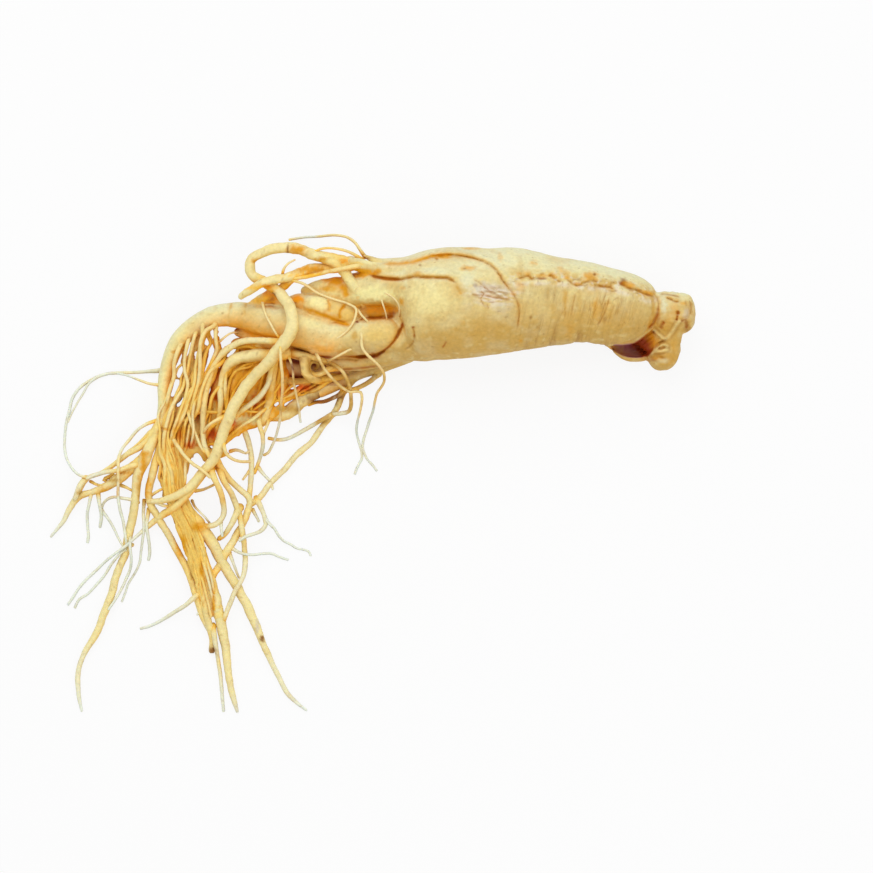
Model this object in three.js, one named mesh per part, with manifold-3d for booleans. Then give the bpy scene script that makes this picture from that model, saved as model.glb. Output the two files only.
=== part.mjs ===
// A fresh ginseng root: a thick taproot with its knobbly neck at one end, and at the other
// end the legs and side roots that it splits into. It lies on its side on a flat surface.
//
// Millimetres, +Z up. +X runs from the root tips to the neck. The origin is on the surface,
// under the middle of the whole root. The root grew as one piece, so it is one solid.

import * as THREE from 'three';
import { mergeVertices } from 'three/addons/utils/BufferGeometryUtils.js';
import Module from 'manifold-3d';

const SURFACE_HEIGHT = 0;      // the surface that the root lies on
const TALLEST = 60;            // anything above this is clear of the root
const WIDEST = 400;            // anything beyond this is clear of the root
const BODY_SIDES = 26;         // sides of the taproot's section
const LEG_SIDES = 12;          // sides of a leg's section
const ROOT_SIDES = 8;          // sides of a side root's section
const THIN_SIDES = 6;          // sides of a thin root's section
const STEPS_PER_SPAN = 2;      // sections between two points of a route
const SKIN_COLOUR = 0xe3cf8f;
const SKIN_ROUGHNESS = 0.6;

// Every route is a list of points [x, y, z, radius]. A fifth number is the half height, where
// the section is an oval that is wider than it is tall.

// The taproot is about 100 mm long and 36 mm thick. Its belly dips half a millimetre into
// the surface, which leaves the long flat patch that it rests on.
const TAPROOT = [
  [-5.5, 57.5, 15.2, 2.5, 2.5], [-4.0, 57.2, 15.2, 6.2, 6.2], [0, 56, 15.2, 10.4, 10.6],
  [5, 54.8, 15, 13.4, 13.4], [11, 54.2, 14.9, 15.4, 14.8], [20, 56, 15.4, 17.3, 15.9],
  [30, 57.3, 15.9, 18.1, 16.4], [40, 58, 15.6, 17.6, 16.1], [50, 58.4, 15, 16.9, 15.5],
  [60, 58.5, 14.2, 15.2, 14.7], [70, 57.9, 13.2, 13.7, 13.7], [78, 56.6, 12.9, 13.4, 13.3],
  [84, 55.9, 12.9, 12.4, 12.3], [88.5, 55.8, 12.9, 10.8, 10.9], [92, 56, 13, 8.6, 8.8],
  [94.3, 56.3, 13, 5.8, 5.9], [95.4, 56.5, 13, 2.4, 2.4],
];

const NECK = [
  [90, 55.6, 13, 6.2, 6], [96, 54.8, 13, 6.5, 6.2], [101, 54, 13.2, 7.2, 6.6],
  [104.4, 53.8, 13.2, 6.9, 6.3], [106.6, 54.2, 13.2, 4.4, 4.2], [107.2, 54.4, 13.2, 2, 2],
];

const NECK_LOBE = [
  [98, 51, 12.2, 4.2], [97.4, 46, 11, 4.9], [97.2, 41, 10.4, 4.6], [97, 37.8, 10.2, 3.1],
  [96.9, 36.2, 10.2, 1.2],
];

const NECK_BUD = [[101, 56, 14, 3.4], [103.6, 58, 14, 3.4], [104.6, 59.4, 14, 2]];

const SKIN_FLAP = [
  [78, 44.6, 10, 1.1, 1.6], [81, 41.4, 9.2, 0.9, 1.6], [84.5, 39.4, 8.8, 0.8, 1.7],
  [88.5, 38.9, 8.8, 0.8, 1.7], [92, 40, 9.4, 0.9, 1.6], [95, 42.5, 10.2, 1.1, 1.4],
];

// The main leg leaves the taproot, bends down at its far end, and runs on as the bundle.
const MAIN_LEG = [
  [17, 48, 13.5, 7], [8, 46.3, 13.2, 6.4], [-3, 46.1, 13, 6.1], [-12, 46, 12.8, 6.2],
  [-20, 47.9, 12.6, 6.9], [-28, 50.3, 12.3, 6.4], [-36, 52, 11.8, 5.5],
  [-44, 53.6, 11.3, 4.3], [-52, 53.2, 10.8, 3.6], [-59, 49.8, 10, 3.3],
  [-64.3, 44.6, 9, 3], [-67.2, 38.5, 8, 2.6], [-69, 31, 7, 2.3], [-69.1, 24, 6, 2.2],
  [-69.6, 18, 5.2, 2.3], [-68.5, 11, 5, 2.8], [-67, 4, 4.6, 3.1], [-66, -3, 4.2, 2.9],
  [-64.3, -9.5, 4, 3.2], [-62, -16, 3.9, 3.5], [-59.3, -23, 3.9, 3.6],
  [-57, -31, 3.8, 3.6], [-55.5, -38, 3.5, 3.3], [-54.5, -44, 3, 2.8],
  [-53.6, -49, 2.3, 2], [-53, -54, 1.5, 1.3], [-53.4, -58.6, 1.1, 1],
];

const SECOND_LEG = [
  [8, 56, 17, 3], [-2, 55, 17.5, 3], [-9, 56.2, 17.5, 3], [-15, 57.6, 17, 2.9],
  [-20.5, 58.5, 16.5, 2.6], [-26, 58, 16, 1.8],
];

const THIRD_LEG = [
  [14, 44, 9, 4], [5, 40.6, 8.5, 3.6], [-3, 38.6, 8.5, 3], [-10, 37.3, 8.3, 2.6],
  [-16, 37.5, 8, 2.2], [-20, 36, 8, 1.8], [-20, 33.2, 8, 1.5], [-17, 33, 8.2, 1.3],
];

// The side root rides along the top of the taproot, makes one loop, and crosses over
// the legs and the bundle.
const LOOP_ROOT = [
  [44, 62, 26.5, 2.4], [34, 65.5, 26, 2.8], [24, 68.3, 25, 2.8], [12, 68.8, 23, 2.7],
  [2, 69.3, 21.5, 2.5], [-7, 71.3, 20.5, 2.2], [-17, 73, 20, 1.9], [-27, 75.6, 19.5, 1.8],
  [-35, 74.6, 19, 1.7], [-40, 71.3, 18.5, 1.7], [-39.8, 67.2, 18.5, 1.7],
  [-35, 64.2, 19.5, 1.8], [-29.5, 59.8, 21, 1.9], [-26, 53.5, 22, 2],
  [-26.8, 47.5, 21.5, 2.1], [-31, 42, 19.5, 2.2], [-37, 36, 16.5, 2.2],
  [-42.5, 29, 14, 2.1], [-46.8, 22, 12.5, 1.9], [-49.3, 14, 11, 1.7],
  [-51.5, 7.5, 10, 1.8], [-56.5, 1, 9, 1.6], [-62, -5, 9, 1.4], [-68, -7.8, 7.2, 1.2],
  [-74.5, -8.5, 4, 0.9],
];

const LOOP_ROOT_BRANCH = [
  [-55.5, 2, 9, 1.5], [-60.5, -5, 8.4, 1.3], [-65, -10, 6.6, 1.3], [-70, -13.2, 3.5, 1.2],
  [-76, -18, 1.6, 0.8],
];

const HAIRPIN_ROOT = [
  [-3, 70.4, 20, 1.6], [-12, 69, 18.5, 1.6], [-20, 68.3, 18, 1.6], [-28, 65.6, 17.5, 1.6],
  [-36, 63.5, 17, 1.5], [-41.5, 61, 16.5, 1.4], [-43.8, 59.6, 15.5, 1.2],
  [-42, 57.6, 14.5, 1],
];

const UNDER_ROOT = [
  [12, 41, 6, 3], [3, 36.8, 4.4, 2.2], [-4, 34, 4, 1.8], [-10, 31.3, 3.9, 2],
  [-17, 28.5, 3.6, 2.2], [-23, 25, 3.2, 2.3], [-29, 20.8, 2.9, 2.4], [-35, 20.3, 2.9, 2.3],
  [-41, 18.3, 3.2, 2.3], [-46.5, 15.5, 4.4, 2], [-50, 11.5, 8.4, 1.6],
];

// Roots that leave the bend of the main leg and fan out over the surface.
const FANNED_ROOTS = [
  [
    [-49, 52.5, 11, 1.8], [-55.5, 44, 10.5, 1.5], [-57.5, 36, 9.5, 1.4],
    [-58.7, 28, 8, 1.3], [-60, 20, 6.5, 1.2], [-62.5, 12, 5, 1.2], [-65, 4, 4.5, 1.3],
  ],
  [
    [-30, 44.5, 17, 1.2], [-38, 45.2, 14.8, 1.1], [-43, 44.8, 13.5, 1.1],
    [-47.5, 42.5, 12, 1.1], [-51.5, 38.5, 10.5, 1.1], [-54, 32.5, 9.5, 1.1],
    [-55.7, 25, 8.5, 1.1], [-56.2, 17, 8, 1], [-55.5, 10, 8, 0.9], [-53, 5, 9, 0.9],
  ],
  [
    [-70, 19, 5.6, 1.6], [-73, 12, 5.8, 1.9], [-76, 5, 5.6, 2], [-78, -1, 5, 1.7],
    [-78.7, -7, 4.2, 1.4], [-79.6, -12.5, 3.2, 1.4], [-81, -19, 2.2, 1.4],
    [-82.5, -26, 1.8, 1.4], [-85, -32.5, 1.6, 1.3], [-87.2, -40, 1.5, 1.3],
    [-89.8, -47, 1.5, 1.3], [-92.2, -53, 1.4, 1.2], [-95.3, -58, 1.2, 1],
    [-97.6, -63.5, 1.1, 0.9], [-98.3, -69, 1, 0.8], [-97.8, -74, 0.9, 0.7],
    [-96.9, -78.6, 0.6, 0.4],
  ],
  [
    [-75, 7, 5.5, 1.8], [-80, 2.8, 4.5, 1.7], [-84.5, -0.8, 3.6, 1.8],
    [-88.5, -3.4, 2.8, 1.5], [-93, -5.4, 2.2, 1.1], [-97.5, -6.6, 1.8, 1.2],
    [-100.5, -10.5, 1.4, 1], [-103, -15, 1.1, 0.8], [-107.2, -20.3, 0.6, 0.4],
  ],
  [
    [-72, 15, 6, 1.6], [-77.5, 10, 5.5, 1.3], [-82, 7, 4.8, 1], [-86, 3.8, 4, 0.8],
    [-90, 1.2, 3.2, 0.8], [-95, -0.9, 2.4, 0.7], [-98, -5.6, 1.8, 0.9],
  ],
  [
    [-69.5, 14, 5.5, 1.3], [-71.5, 7, 5, 1.3], [-73.4, 0, 4.4, 1.3], [-74.6, -6, 3.8, 1.2],
    [-73, -11, 3.2, 1.2], [-70, -16, 2.6, 1.2], [-66.8, -21.5, 2.4, 1.2],
    [-63.8, -27, 2.6, 1.2], [-61, -32.5, 3, 1.2], [-58.6, -37, 3.2, 1.1],
  ],
  [
    [-62, -10, 4.5, 1.6], [-58, -16, 4, 2.2], [-54.5, -20.5, 3.2, 2.1],
    [-51.5, -25.5, 2.4, 1.8], [-48.5, -31, 1.9, 1.6], [-45, -37, 1.8, 1.6],
    [-42, -42.5, 1.7, 1.6], [-39, -49, 1.6, 1.5], [-36.5, -55.5, 1.4, 1.2],
    [-34, -61, 1.2, 1], [-31, -67, 1, 0.9], [-28, -72.8, 0.9, 0.8],
    [-24.5, -76.2, 0.8, 0.6], [-21.8, -78.3, 0.6, 0.4],
  ],
  [
    [-54, -34, 4, 2], [-52.2, -41, 3.2, 1.9], [-50.6, -48, 2.2, 1.7],
    [-49.3, -54, 1.8, 1.6], [-48.5, -60, 1.5, 1.4], [-47.9, -66, 1.3, 1.2],
    [-46.9, -71.5, 1.2, 1.1], [-45.8, -75.5, 1, 0.9], [-44.9, -78.8, 0.7, 0.5],
  ],
  [
    [-52, 6.5, 9, 1.2], [-50, 2.5, 6.5, 1], [-47.5, -1, 4.5, 1], [-44, -4.5, 3, 1],
    [-40.8, -8, 2.2, 1.1], [-41.5, -12, 1.9, 1.2], [-43.5, -17, 1.8, 1.2],
    [-46.5, -22, 2, 1.3], [-49, -26.5, 2.2, 1.3], [-50.6, -29.5, 2.2, 1.3],
    [-53.5, -34, 3.2, 1.2],
  ],
  [
    [-6, 32.5, 4.4, 1.2], [-9.8, 27, 3.2, 1.1], [-12, 22, 2, 1], [-16, 17, 1.2, 1],
    [-20, 11.5, 1.1, 1], [-25, 7, 1.1, 1], [-30, 1.2, 1.1, 1], [-34, -2.5, 1.2, 1],
    [-38, -7.8, 1.7, 1], [-41.2, -10, 2, 1],
  ],
  [
    [-43.5, 17.5, 3, 1], [-41.5, 12.5, 2, 1], [-40.1, 6, 1.4, 0.9], [-40.3, -1, 1.3, 0.9],
    [-41, -8.5, 2, 0.9],
  ],
];

// A closed tapered tube along a route: a turned profile, bent so that its axis follows
// the route, with each section upright and square to it.
function taperedTube(route, sides) {
  const curve = new THREE.CatmullRomCurve3(route.map(([x, y, z]) => new THREE.Vector3(x, y, z)));
  const sections = (route.length - 1) * STEPS_PER_SPAN;
  const widthAt = (place) => valueAlong(route, place, ([, , , radius]) => radius);
  const heightAt = (place) =>
    valueAlong(route, place, ([, , , radius, halfHeight]) => halfHeight ?? radius);

  const profile = [new THREE.Vector2(0, 0)];
  for (let i = 0; i <= sections; i++) profile.push(new THREE.Vector2(1, i / sections));
  profile.push(new THREE.Vector2(0, 1));
  const geometry = new THREE.LatheGeometry(profile, sides);

  const position = geometry.attributes.position;
  const turned = new THREE.Vector3();
  for (let i = 0; i < position.count; i++) {
    turned.fromBufferAttribute(position, i);
    const along = THREE.MathUtils.clamp(turned.y, 0, 1);
    const forward = curve.getTangent(along);
    const across = new THREE.Vector3(forward.y, -forward.x, 0).normalize();
    const upward = new THREE.Vector3().crossVectors(across, forward);
    const placed = curve.getPoint(along);
    placed.addScaledVector(across, turned.x * widthAt(along));
    placed.addScaledVector(upward, turned.z * heightAt(along));
    position.setXYZ(i, placed.x, placed.y, placed.z);
  }
  return geometry;
}

// A value given at the points of a route, read smoothly anywhere between them.
function valueAlong(route, along, read) {
  const place = along * (route.length - 1);
  const before = Math.min(Math.floor(place), route.length - 2);
  const blend = THREE.MathUtils.smoothstep(place - before, 0, 1);
  return THREE.MathUtils.lerp(read(route[before]), read(route[before + 1]), blend);
}

function toSolid(wasm, geometry) {
  const bare = geometry.clone();
  bare.deleteAttribute('normal');
  bare.deleteAttribute('uv');
  const merged = mergeVertices(bare, 1e-4);
  return new wasm.Manifold(new wasm.Mesh({
    numProp: 3,
    vertProperties: new Float32Array(merged.attributes.position.array),
    triVerts: new Uint32Array(merged.index.array),
  }));
}

function toGeometry(solid) {
  const mesh = solid.getMesh();
  const geometry = new THREE.BufferGeometry();
  geometry.setAttribute('position', new THREE.BufferAttribute(mesh.vertProperties, 3));
  geometry.setIndex(new THREE.BufferAttribute(mesh.triVerts, 1));
  geometry.computeVertexNormals();
  return geometry;
}

const wasm = await Module();
wasm.setup();

let grown = toSolid(wasm, taperedTube(TAPROOT, BODY_SIDES));
for (const route of [NECK, NECK_LOBE, NECK_BUD, MAIN_LEG]) {
  grown = grown.add(toSolid(wasm, taperedTube(route, LEG_SIDES)));
}
for (const route of [SECOND_LEG, THIRD_LEG, LOOP_ROOT, HAIRPIN_ROOT, UNDER_ROOT]) {
  grown = grown.add(toSolid(wasm, taperedTube(route, ROOT_SIDES)));
}
for (const route of [SKIN_FLAP, LOOP_ROOT_BRANCH, ...FANNED_ROOTS]) {
  grown = grown.add(toSolid(wasm, taperedTube(route, THIN_SIDES)));
}

// Nothing reaches below the surface that the root lies on.
const aboveSurface = new THREE.BoxGeometry(WIDEST, WIDEST, TALLEST);
aboveSurface.translate(0, 0, SURFACE_HEIGHT + TALLEST / 2);
grown = grown.intersect(toSolid(wasm, aboveSurface));

const root = new THREE.Mesh(
  toGeometry(grown),
  new THREE.MeshStandardMaterial({ color: SKIN_COLOUR, roughness: SKIN_ROUGHNESS, metalness: 0 }),
);
root.name = 'ginseng_root';

const ginseng = new THREE.Group();
ginseng.add(root);

export default ginseng;
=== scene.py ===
"""A fresh ginseng root lying on a pale surface, seen from straight above.

Lengths in the routes and in the modelling code are millimetres in the part's own frame; they
become metres when a mesh is made. The thick roots, legs and neck follow the routes that the CAD
part has; the webs between them, the heap, the rootlets and the marks and painted shading on the
skin are only here.
"""
import itertools

import bpy
import numpy as np
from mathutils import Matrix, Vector


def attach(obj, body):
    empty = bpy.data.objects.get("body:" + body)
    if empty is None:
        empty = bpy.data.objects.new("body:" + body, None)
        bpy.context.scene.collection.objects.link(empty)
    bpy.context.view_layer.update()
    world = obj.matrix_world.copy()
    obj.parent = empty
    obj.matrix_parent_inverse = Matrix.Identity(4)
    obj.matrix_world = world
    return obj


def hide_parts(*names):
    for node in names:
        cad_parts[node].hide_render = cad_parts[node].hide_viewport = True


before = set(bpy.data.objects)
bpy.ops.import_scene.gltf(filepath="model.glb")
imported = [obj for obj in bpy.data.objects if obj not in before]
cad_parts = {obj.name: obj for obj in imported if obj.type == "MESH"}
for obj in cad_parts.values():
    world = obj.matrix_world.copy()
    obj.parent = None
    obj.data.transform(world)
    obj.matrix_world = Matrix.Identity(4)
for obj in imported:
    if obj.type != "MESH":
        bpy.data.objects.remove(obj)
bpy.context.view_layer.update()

MM = 0.001
NODE = "ginseng_root"
MIDDLE_OF_VIEW = (21.7, 13.2)     # mm, the point under the camera
VIEW_WIDTH = 291.0                # mm of the surface that the picture is wide
FOCUS_HEIGHT = 8.0                # mm above the surface, where VIEW_WIDTH holds
LENS, SENSOR = 300.0, 36.0        # mm
FLESH_CELL = 0.39                 # mm, grid that the thick flesh is meshed on
FLESH_BOX = ((-76, 2, -1), (109, 80, 35))       # mm, corners of the flesh's field
HEAP_BOX = ((-76, -60, -1), (-16, 55, 14))      # and of the heap's
FAR_OFF = 9.0                     # mm, what a field says where no flesh is near
TUBE_STEP = 0.5                   # mm between the balls that make up a thick root
COARSE_CELL = 1.2                 # mm, grid on which the flesh's underside is thinned out
CELL_NUMBERS = 4000               # more than the cells of that grid along any axis
SAG = 0.035                       # 1/mm, how sharply a thin root bends down over what it lies on
THICK_SIDES, THIN_SIDES = 14, 8   # of the tubes that the roots round the flesh are
CAP_SHIFTS = (-0.55, 0.6)         # radii that a root's first and last ring stand off its ends
CAP_SCALES = (0.75, 0.7)          # and their size
FLOOR_SIZE = 4.0                  # m
LAMP_SIZE = 1.0                   # m
KEY_PLACE, KEY_POWER = (-0.2, 0.7, 0.85), 5.4       # m, W
FILL_PLACE, FILL_POWER = (0.5, -0.5, 0.7), 2.5      # m, W
ROOM_LIGHT = 0.66                 # strength of the even light from all round
FLOOR_GLOW = 0.87                 # the share of the floor's look that is a glow of its own
SPECKLES, GRAIN, FINE_WRINKLES = 900, 1600, 520     # per metre, detail in the skin's material


def aim_camera():
    """A long lens straight above the root, with +Y at the top of the picture."""
    data = bpy.data.cameras.new("camera")
    data.lens, data.sensor_width, data.sensor_height = LENS, SENSOR, SENSOR
    data.clip_start, data.clip_end = 0.1, 10.0
    camera = bpy.data.objects.new("camera", data)
    distance = VIEW_WIDTH * LENS / SENSOR
    camera.location = (MIDDLE_OF_VIEW[0] * MM, MIDDLE_OF_VIEW[1] * MM,
                       (FOCUS_HEIGHT + distance) * MM)
    bpy.context.collection.objects.link(camera)
    bpy.context.scene.camera = camera


aim_camera()


# ------------------------ routes of the thick roots
# Points are (x, y, z, radius) and, on an oval section, the half height as well.

TAPROOT = [
    (-10, 62.3, 15, 1.5, 1.5), (-8.5, 62.2, 15, 3.4, 3.4), (-5, 62, 15, 4.5, 4.6), (0, 63, 15.2, 5.8, 6),
    (5, 64, 15.4, 6.9, 7), (8, 63.4, 15.5, 8, 8), (10, 61.3, 15.4, 10.4, 10.2), (12, 58.4, 15.3, 14, 13.4),
    (15, 56.6, 15.3, 16.9, 14.9), (20, 56.9, 15.4, 17.6, 15.8), (30, 57.3, 15.9, 18.3, 16.4),
    (40, 58, 15.6, 17.8, 16.1), (50, 58.6, 15, 16.8, 15.5), (60, 58.5, 14.2, 15.2, 14.7),
    (70, 57.9, 13.2, 13.7, 13.7), (78, 56.6, 12.9, 13.2, 13.3), (84, 55.9, 12.9, 12.2, 12.3),
    (88.5, 55.8, 12.9, 10.8, 10.9), (92, 56.3, 13, 8.2, 8.6), (94.3, 56.8, 13, 5.2, 5.5),
    (95.4, 57, 13, 2, 2.2),
]
NECK = [(90, 55.4, 12.8, 5.6), (95, 55, 13, 6.2), (99, 54.5, 13.2, 6.6), (100.9, 54.4, 13.2, 6.5)]
NECK_SHOULDERS = [
    [(98, 57.2, 13.4, 3.6), (103.1, 57, 13.2, 3.7)],
    [(99, 52, 13, 4), (103.3, 51.6, 12.8, 3.8)],
]
NECK_LOBE = [
    (99.8, 51, 12.4, 4.4), (98.7, 46.5, 11.4, 4.6), (97.4, 42, 10.6, 4.9), (96.8, 40.2, 10.3, 4.8),
]
FLAP, FLAP_REACH = (88, 43.6, 7.6), (8.7, 5.6, 4.6)     # the ball of flesh under the neck
HOLLOW_LIP = [
    (79.4, 45.8, 13, 2.2), (84, 46, 13.6, 2.5), (87.3, 46.7, 14, 2.6), (90.1, 48.4, 14.2, 2.5),
    (92.2, 50.7, 14.2, 2.2),
]
RIM_START = [(76.6, 44.7, 12, 0.8), (79, 43.7, 10.6, 0.9), (81.4, 41.6, 9, 0.9)]
NECK_RAMP = [(84, 50, 2.6, 4), (88, 48.6, 5.4, 4.2), (92, 46.8, 8, 4.6), (95.5, 44.8, 9.6, 5)]
# Threads raised on the skin, as (x, y) points and a radius; the first ones are pale
PALE_THREADS = 3
THREADS = [
    ([(94, 48.6), (95, 47.5), (96.3, 46.3), (97.5, 45.6), (98.6, 46.2), (100, 48), (101.3, 50.3),
     (102.2, 51.4)], 0.5),
    ([(90.6, 39.8), (92.5, 40.9), (94.5, 41.8), (96.6, 41.6), (98.3, 42.1)], 0.45),
    ([(94.1, 42.3), (95.7, 43.1), (97, 43.8), (98.4, 43.3)], 0.42),
    ([(93.6, 49.2), (91.6, 47.6), (89.5, 46.2)], 0.42),
    ([(93.6, 47.3), (91.2, 45.7), (88, 43.6)], 0.45),
    ([(93.6, 45.8), (91.2, 43.9), (88.8, 42)], 0.42),
    ([(93.4, 44.2), (91.6, 42.7), (90, 41.2)], 0.42),
]
TOP_FOLD = [
    (34, 71.5, 17, 4.3), (26, 71.4, 17, 3.9), (18, 70.7, 16.6, 3.2), (12, 69.7, 16.4, 2.4),
    (7, 70.2, 16.6, 1.7), (2, 71.4, 17, 1.3), (-2, 73, 17.4, 0.8),
]
MAIN_LEG = [
    (4.3, 47.3, 16.4, 5.7), (-3, 46.3, 15.4, 6.2), (-12, 46, 14.2, 6.2), (-20, 47.9, 13.2, 6.8),
    (-28, 50.3, 12.5, 6.3), (-36, 52, 11.8, 5.5), (-44, 53.6, 11.3, 4.3), (-52, 53.2, 10.8, 3.6),
    (-59, 49.8, 10, 3.3), (-64.3, 44.6, 9, 3), (-67.2, 38.5, 8, 2.6), (-69, 31, 7, 2.3),
    (-69.1, 24, 6, 2.2), (-69.6, 18, 5, 2.1), (-68.6, 12, 4.2, 1.9), (-67.6, 6.5, 3.4, 1.2),
]
# Tight rings round the legs: where along X, and how deep as a share of the radius
MAIN_LEG_PINCHES = [(-47.5, 0.06), (-41.5, 0.04), (-33, 0.03), (-14, 0.03)]
SECOND_LEG_PINCHES = [(-10.4, 0.06), (-14.2, 0.06), (-21.8, 0.2)]
SECOND_LEG = [
    (-2, 51.5, 13, 2.4), (-5, 52.3, 14.4, 2.9), (-8, 53.3, 15.6, 3.7), (-10, 54.1, 15.7, 3.5),
    (-12.2, 54.9, 15.9, 3.9), (-14.2, 55.6, 15.7, 3.5), (-16.2, 56.4, 16.1, 4), (-18.6, 57, 16, 3.7),
    (-21, 57.7, 15.7, 2.8), (-24.3, 58.5, 15.6, 2.2), (-26.6, 58.8, 15, 1.2),
]
SECOND_LEG_LUMP = [
    (-2, 61, 15.5, 4), (-8, 62, 16.2, 4), (-12, 62.6, 16.2, 3.8), (-15.5, 62.6, 15.4, 3),
    (-18.6, 62.8, 14.8, 2), (-21.8, 61.6, 14, 1.6),
]
LEG_WEB = [
    [(-44.4, 48, 7.6, 1.4), (-40, 46.8, 9, 2.4), (-34, 45, 10, 3), (-28, 44, 9, 3)],
    [(-31, 43, 7, 2.2), (-24, 41.2, 8.4, 2.6), (-16, 39.6, 9.6, 2.4), (-6, 39.6, 11, 2.6)],
    [(-26, 56, 13, 2.4), (-18, 54.4, 14, 3.1), (-10, 52.3, 14, 3.1), (-4, 52, 12.4, 3)],
    [(-20, 60.2, 14, 1.6), (-16, 60, 15, 2.2), (-11, 59.2, 16, 2.9), (-6, 58.6, 16.4, 3)],
    [(-9, 60, 15.8, 2.4), (-3, 59.9, 17.8, 2.5), (4, 59.7, 19.8, 2.6), (10, 59.4, 21.6, 2.8)],
    [(-39, 58, 12, 1), (-36, 59.2, 13.5, 1.6), (-32.5, 59.4, 14, 2), (-30, 58, 14, 1.6)],
    [(-36, 57.6, 12.5, 1.2), (-34.4, 60.4, 14.5, 1), (-33.6, 62.4, 16, 0.8)],
]
SHOULDER = [
    (24, 61, 19.6, 11), (16, 62.4, 18.8, 9.2), (9, 63.3, 17.8, 7.4), (2, 63.4, 17, 6.2),
    (-5, 62.2, 16, 4.8), (-9, 62, 15.4, 3.4),
]
THIRD_LEG = [
    (24, 50, 14.5, 11), (20, 48.4, 14.2, 9.8), (15, 46.7, 13.6, 8.1), (10.6, 44.3, 12.6, 6),
    (7, 42.1, 12, 4.5), (2.5, 39.7, 11.4, 3.3), (-4, 37.9, 10.8, 2.7), (-9, 37.2, 10, 2.2),
    (-13, 36.6, 9.2, 1.6),
]
# A low bed of flesh under the main leg, painted dark red further on as the shade between the roots above
# it
UNDER_FLESH = [
    (-8, 35.6, 2.6, 2.6), (-14, 35.4, 2.6, 3.4), (-18, 35.8, 2.6, 3.5), (-24, 35.8, 2.6, 3.6),
    (-29, 37, 2.8, 3.4), (-33, 39.5, 3.4, 2.6),
]
RECESS_FLOOR = [(-7, 56, 9.5, 5), (0, 55.5, 9.6, 6.2), (8, 55, 10.2, 7.2), (14, 54, 12, 9)]
LOOP_ROOT = [
    (44, 62, 26.5, 2.4), (34, 65.5, 26, 2.8), (24, 68.3, 25, 2.8), (12, 68.2, 22.4, 2.7),
    (2, 68.6, 20.2, 2.4), (-7, 70.9, 19.8, 2.2), (-17, 73, 20, 1.9), (-27, 75.6, 19.5, 1.8),
    (-35, 74.6, 19, 1.7), (-40, 71.3, 18, 1.7), (-39.8, 67.2, 17, 1.7), (-35, 64.2, 17, 1.8),
    (-29.5, 59.8, 19.4, 1.9), (-26, 53.5, 21.8, 2), (-26.8, 47.5, 21.5, 2.1), (-30.6, 42, 19.5, 2),
    (-36.2, 36, 16.5, 1.9), (-42, 29.2, 14, 1.9), (-46.4, 22, 12.5, 1.9), (-49.5, 14, 11, 1.8),
    (-51.5, 7.5, 10, 1.8), (-56.5, 1, 9, 1.6), (-62, -5, 9, 1.4), (-68, -7.8, 7.2, 1.2),
    (-74.5, -8.5, 4, 0.9),
]
LOOP_ROOT_BRANCH = [
    (-55.5, 2, 9, 1.5), (-60.5, -5, 8.4, 1.3), (-65, -10, 6.6, 1.3), (-70, -13.2, 3.5, 1.2),
    (-76, -18, 1.6, 0.8),
]
LOOP_FORK = [
    (-17.5, 73, 20.2, 1.4), (-12.4, 71, 20.6, 1.7), (-9, 68, 21, 1.8), (-6.6, 64.6, 20.8, 1.8),
    (-4.6, 61.2, 20, 1.7), (-3.2, 58.4, 18.2, 1.4), (-2.6, 56.8, 16, 1.1),
]
HAIRPIN_WEB = [(-26.2, 65, 18.8, 1), (-28.4, 63.4, 18, 1.4), (-31, 61.4, 17.8, 1.1)]
HAIRPIN_ROOT = [
    (-3, 70.4, 20, 1.6), (-12, 69, 18.5, 1.7), (-20, 68.5, 18.4, 1.9), (-28, 66, 19.6, 1.6),
    (-36, 63.9, 20.4, 1.4), (-41, 61, 18.8, 1.3), (-43.2, 59.6, 17.4, 1.1),
]
UNDER_ROOT = [
    (12, 41, 6, 3), (3, 36.8, 4.4, 2.2), (-4, 34, 4, 1.8), (-10, 31.3, 3.9, 2), (-17, 28.5, 3.6, 2.2),
    (-23, 25, 3.2, 2.3), (-29, 20.8, 2.9, 2.4), (-35, 20.3, 2.9, 2.3), (-41, 19, 3.2, 2.2),
    (-45.5, 17.6, 4.4, 1.9), (-49.5, 15.2, 7.6, 1.5),
]
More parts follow.
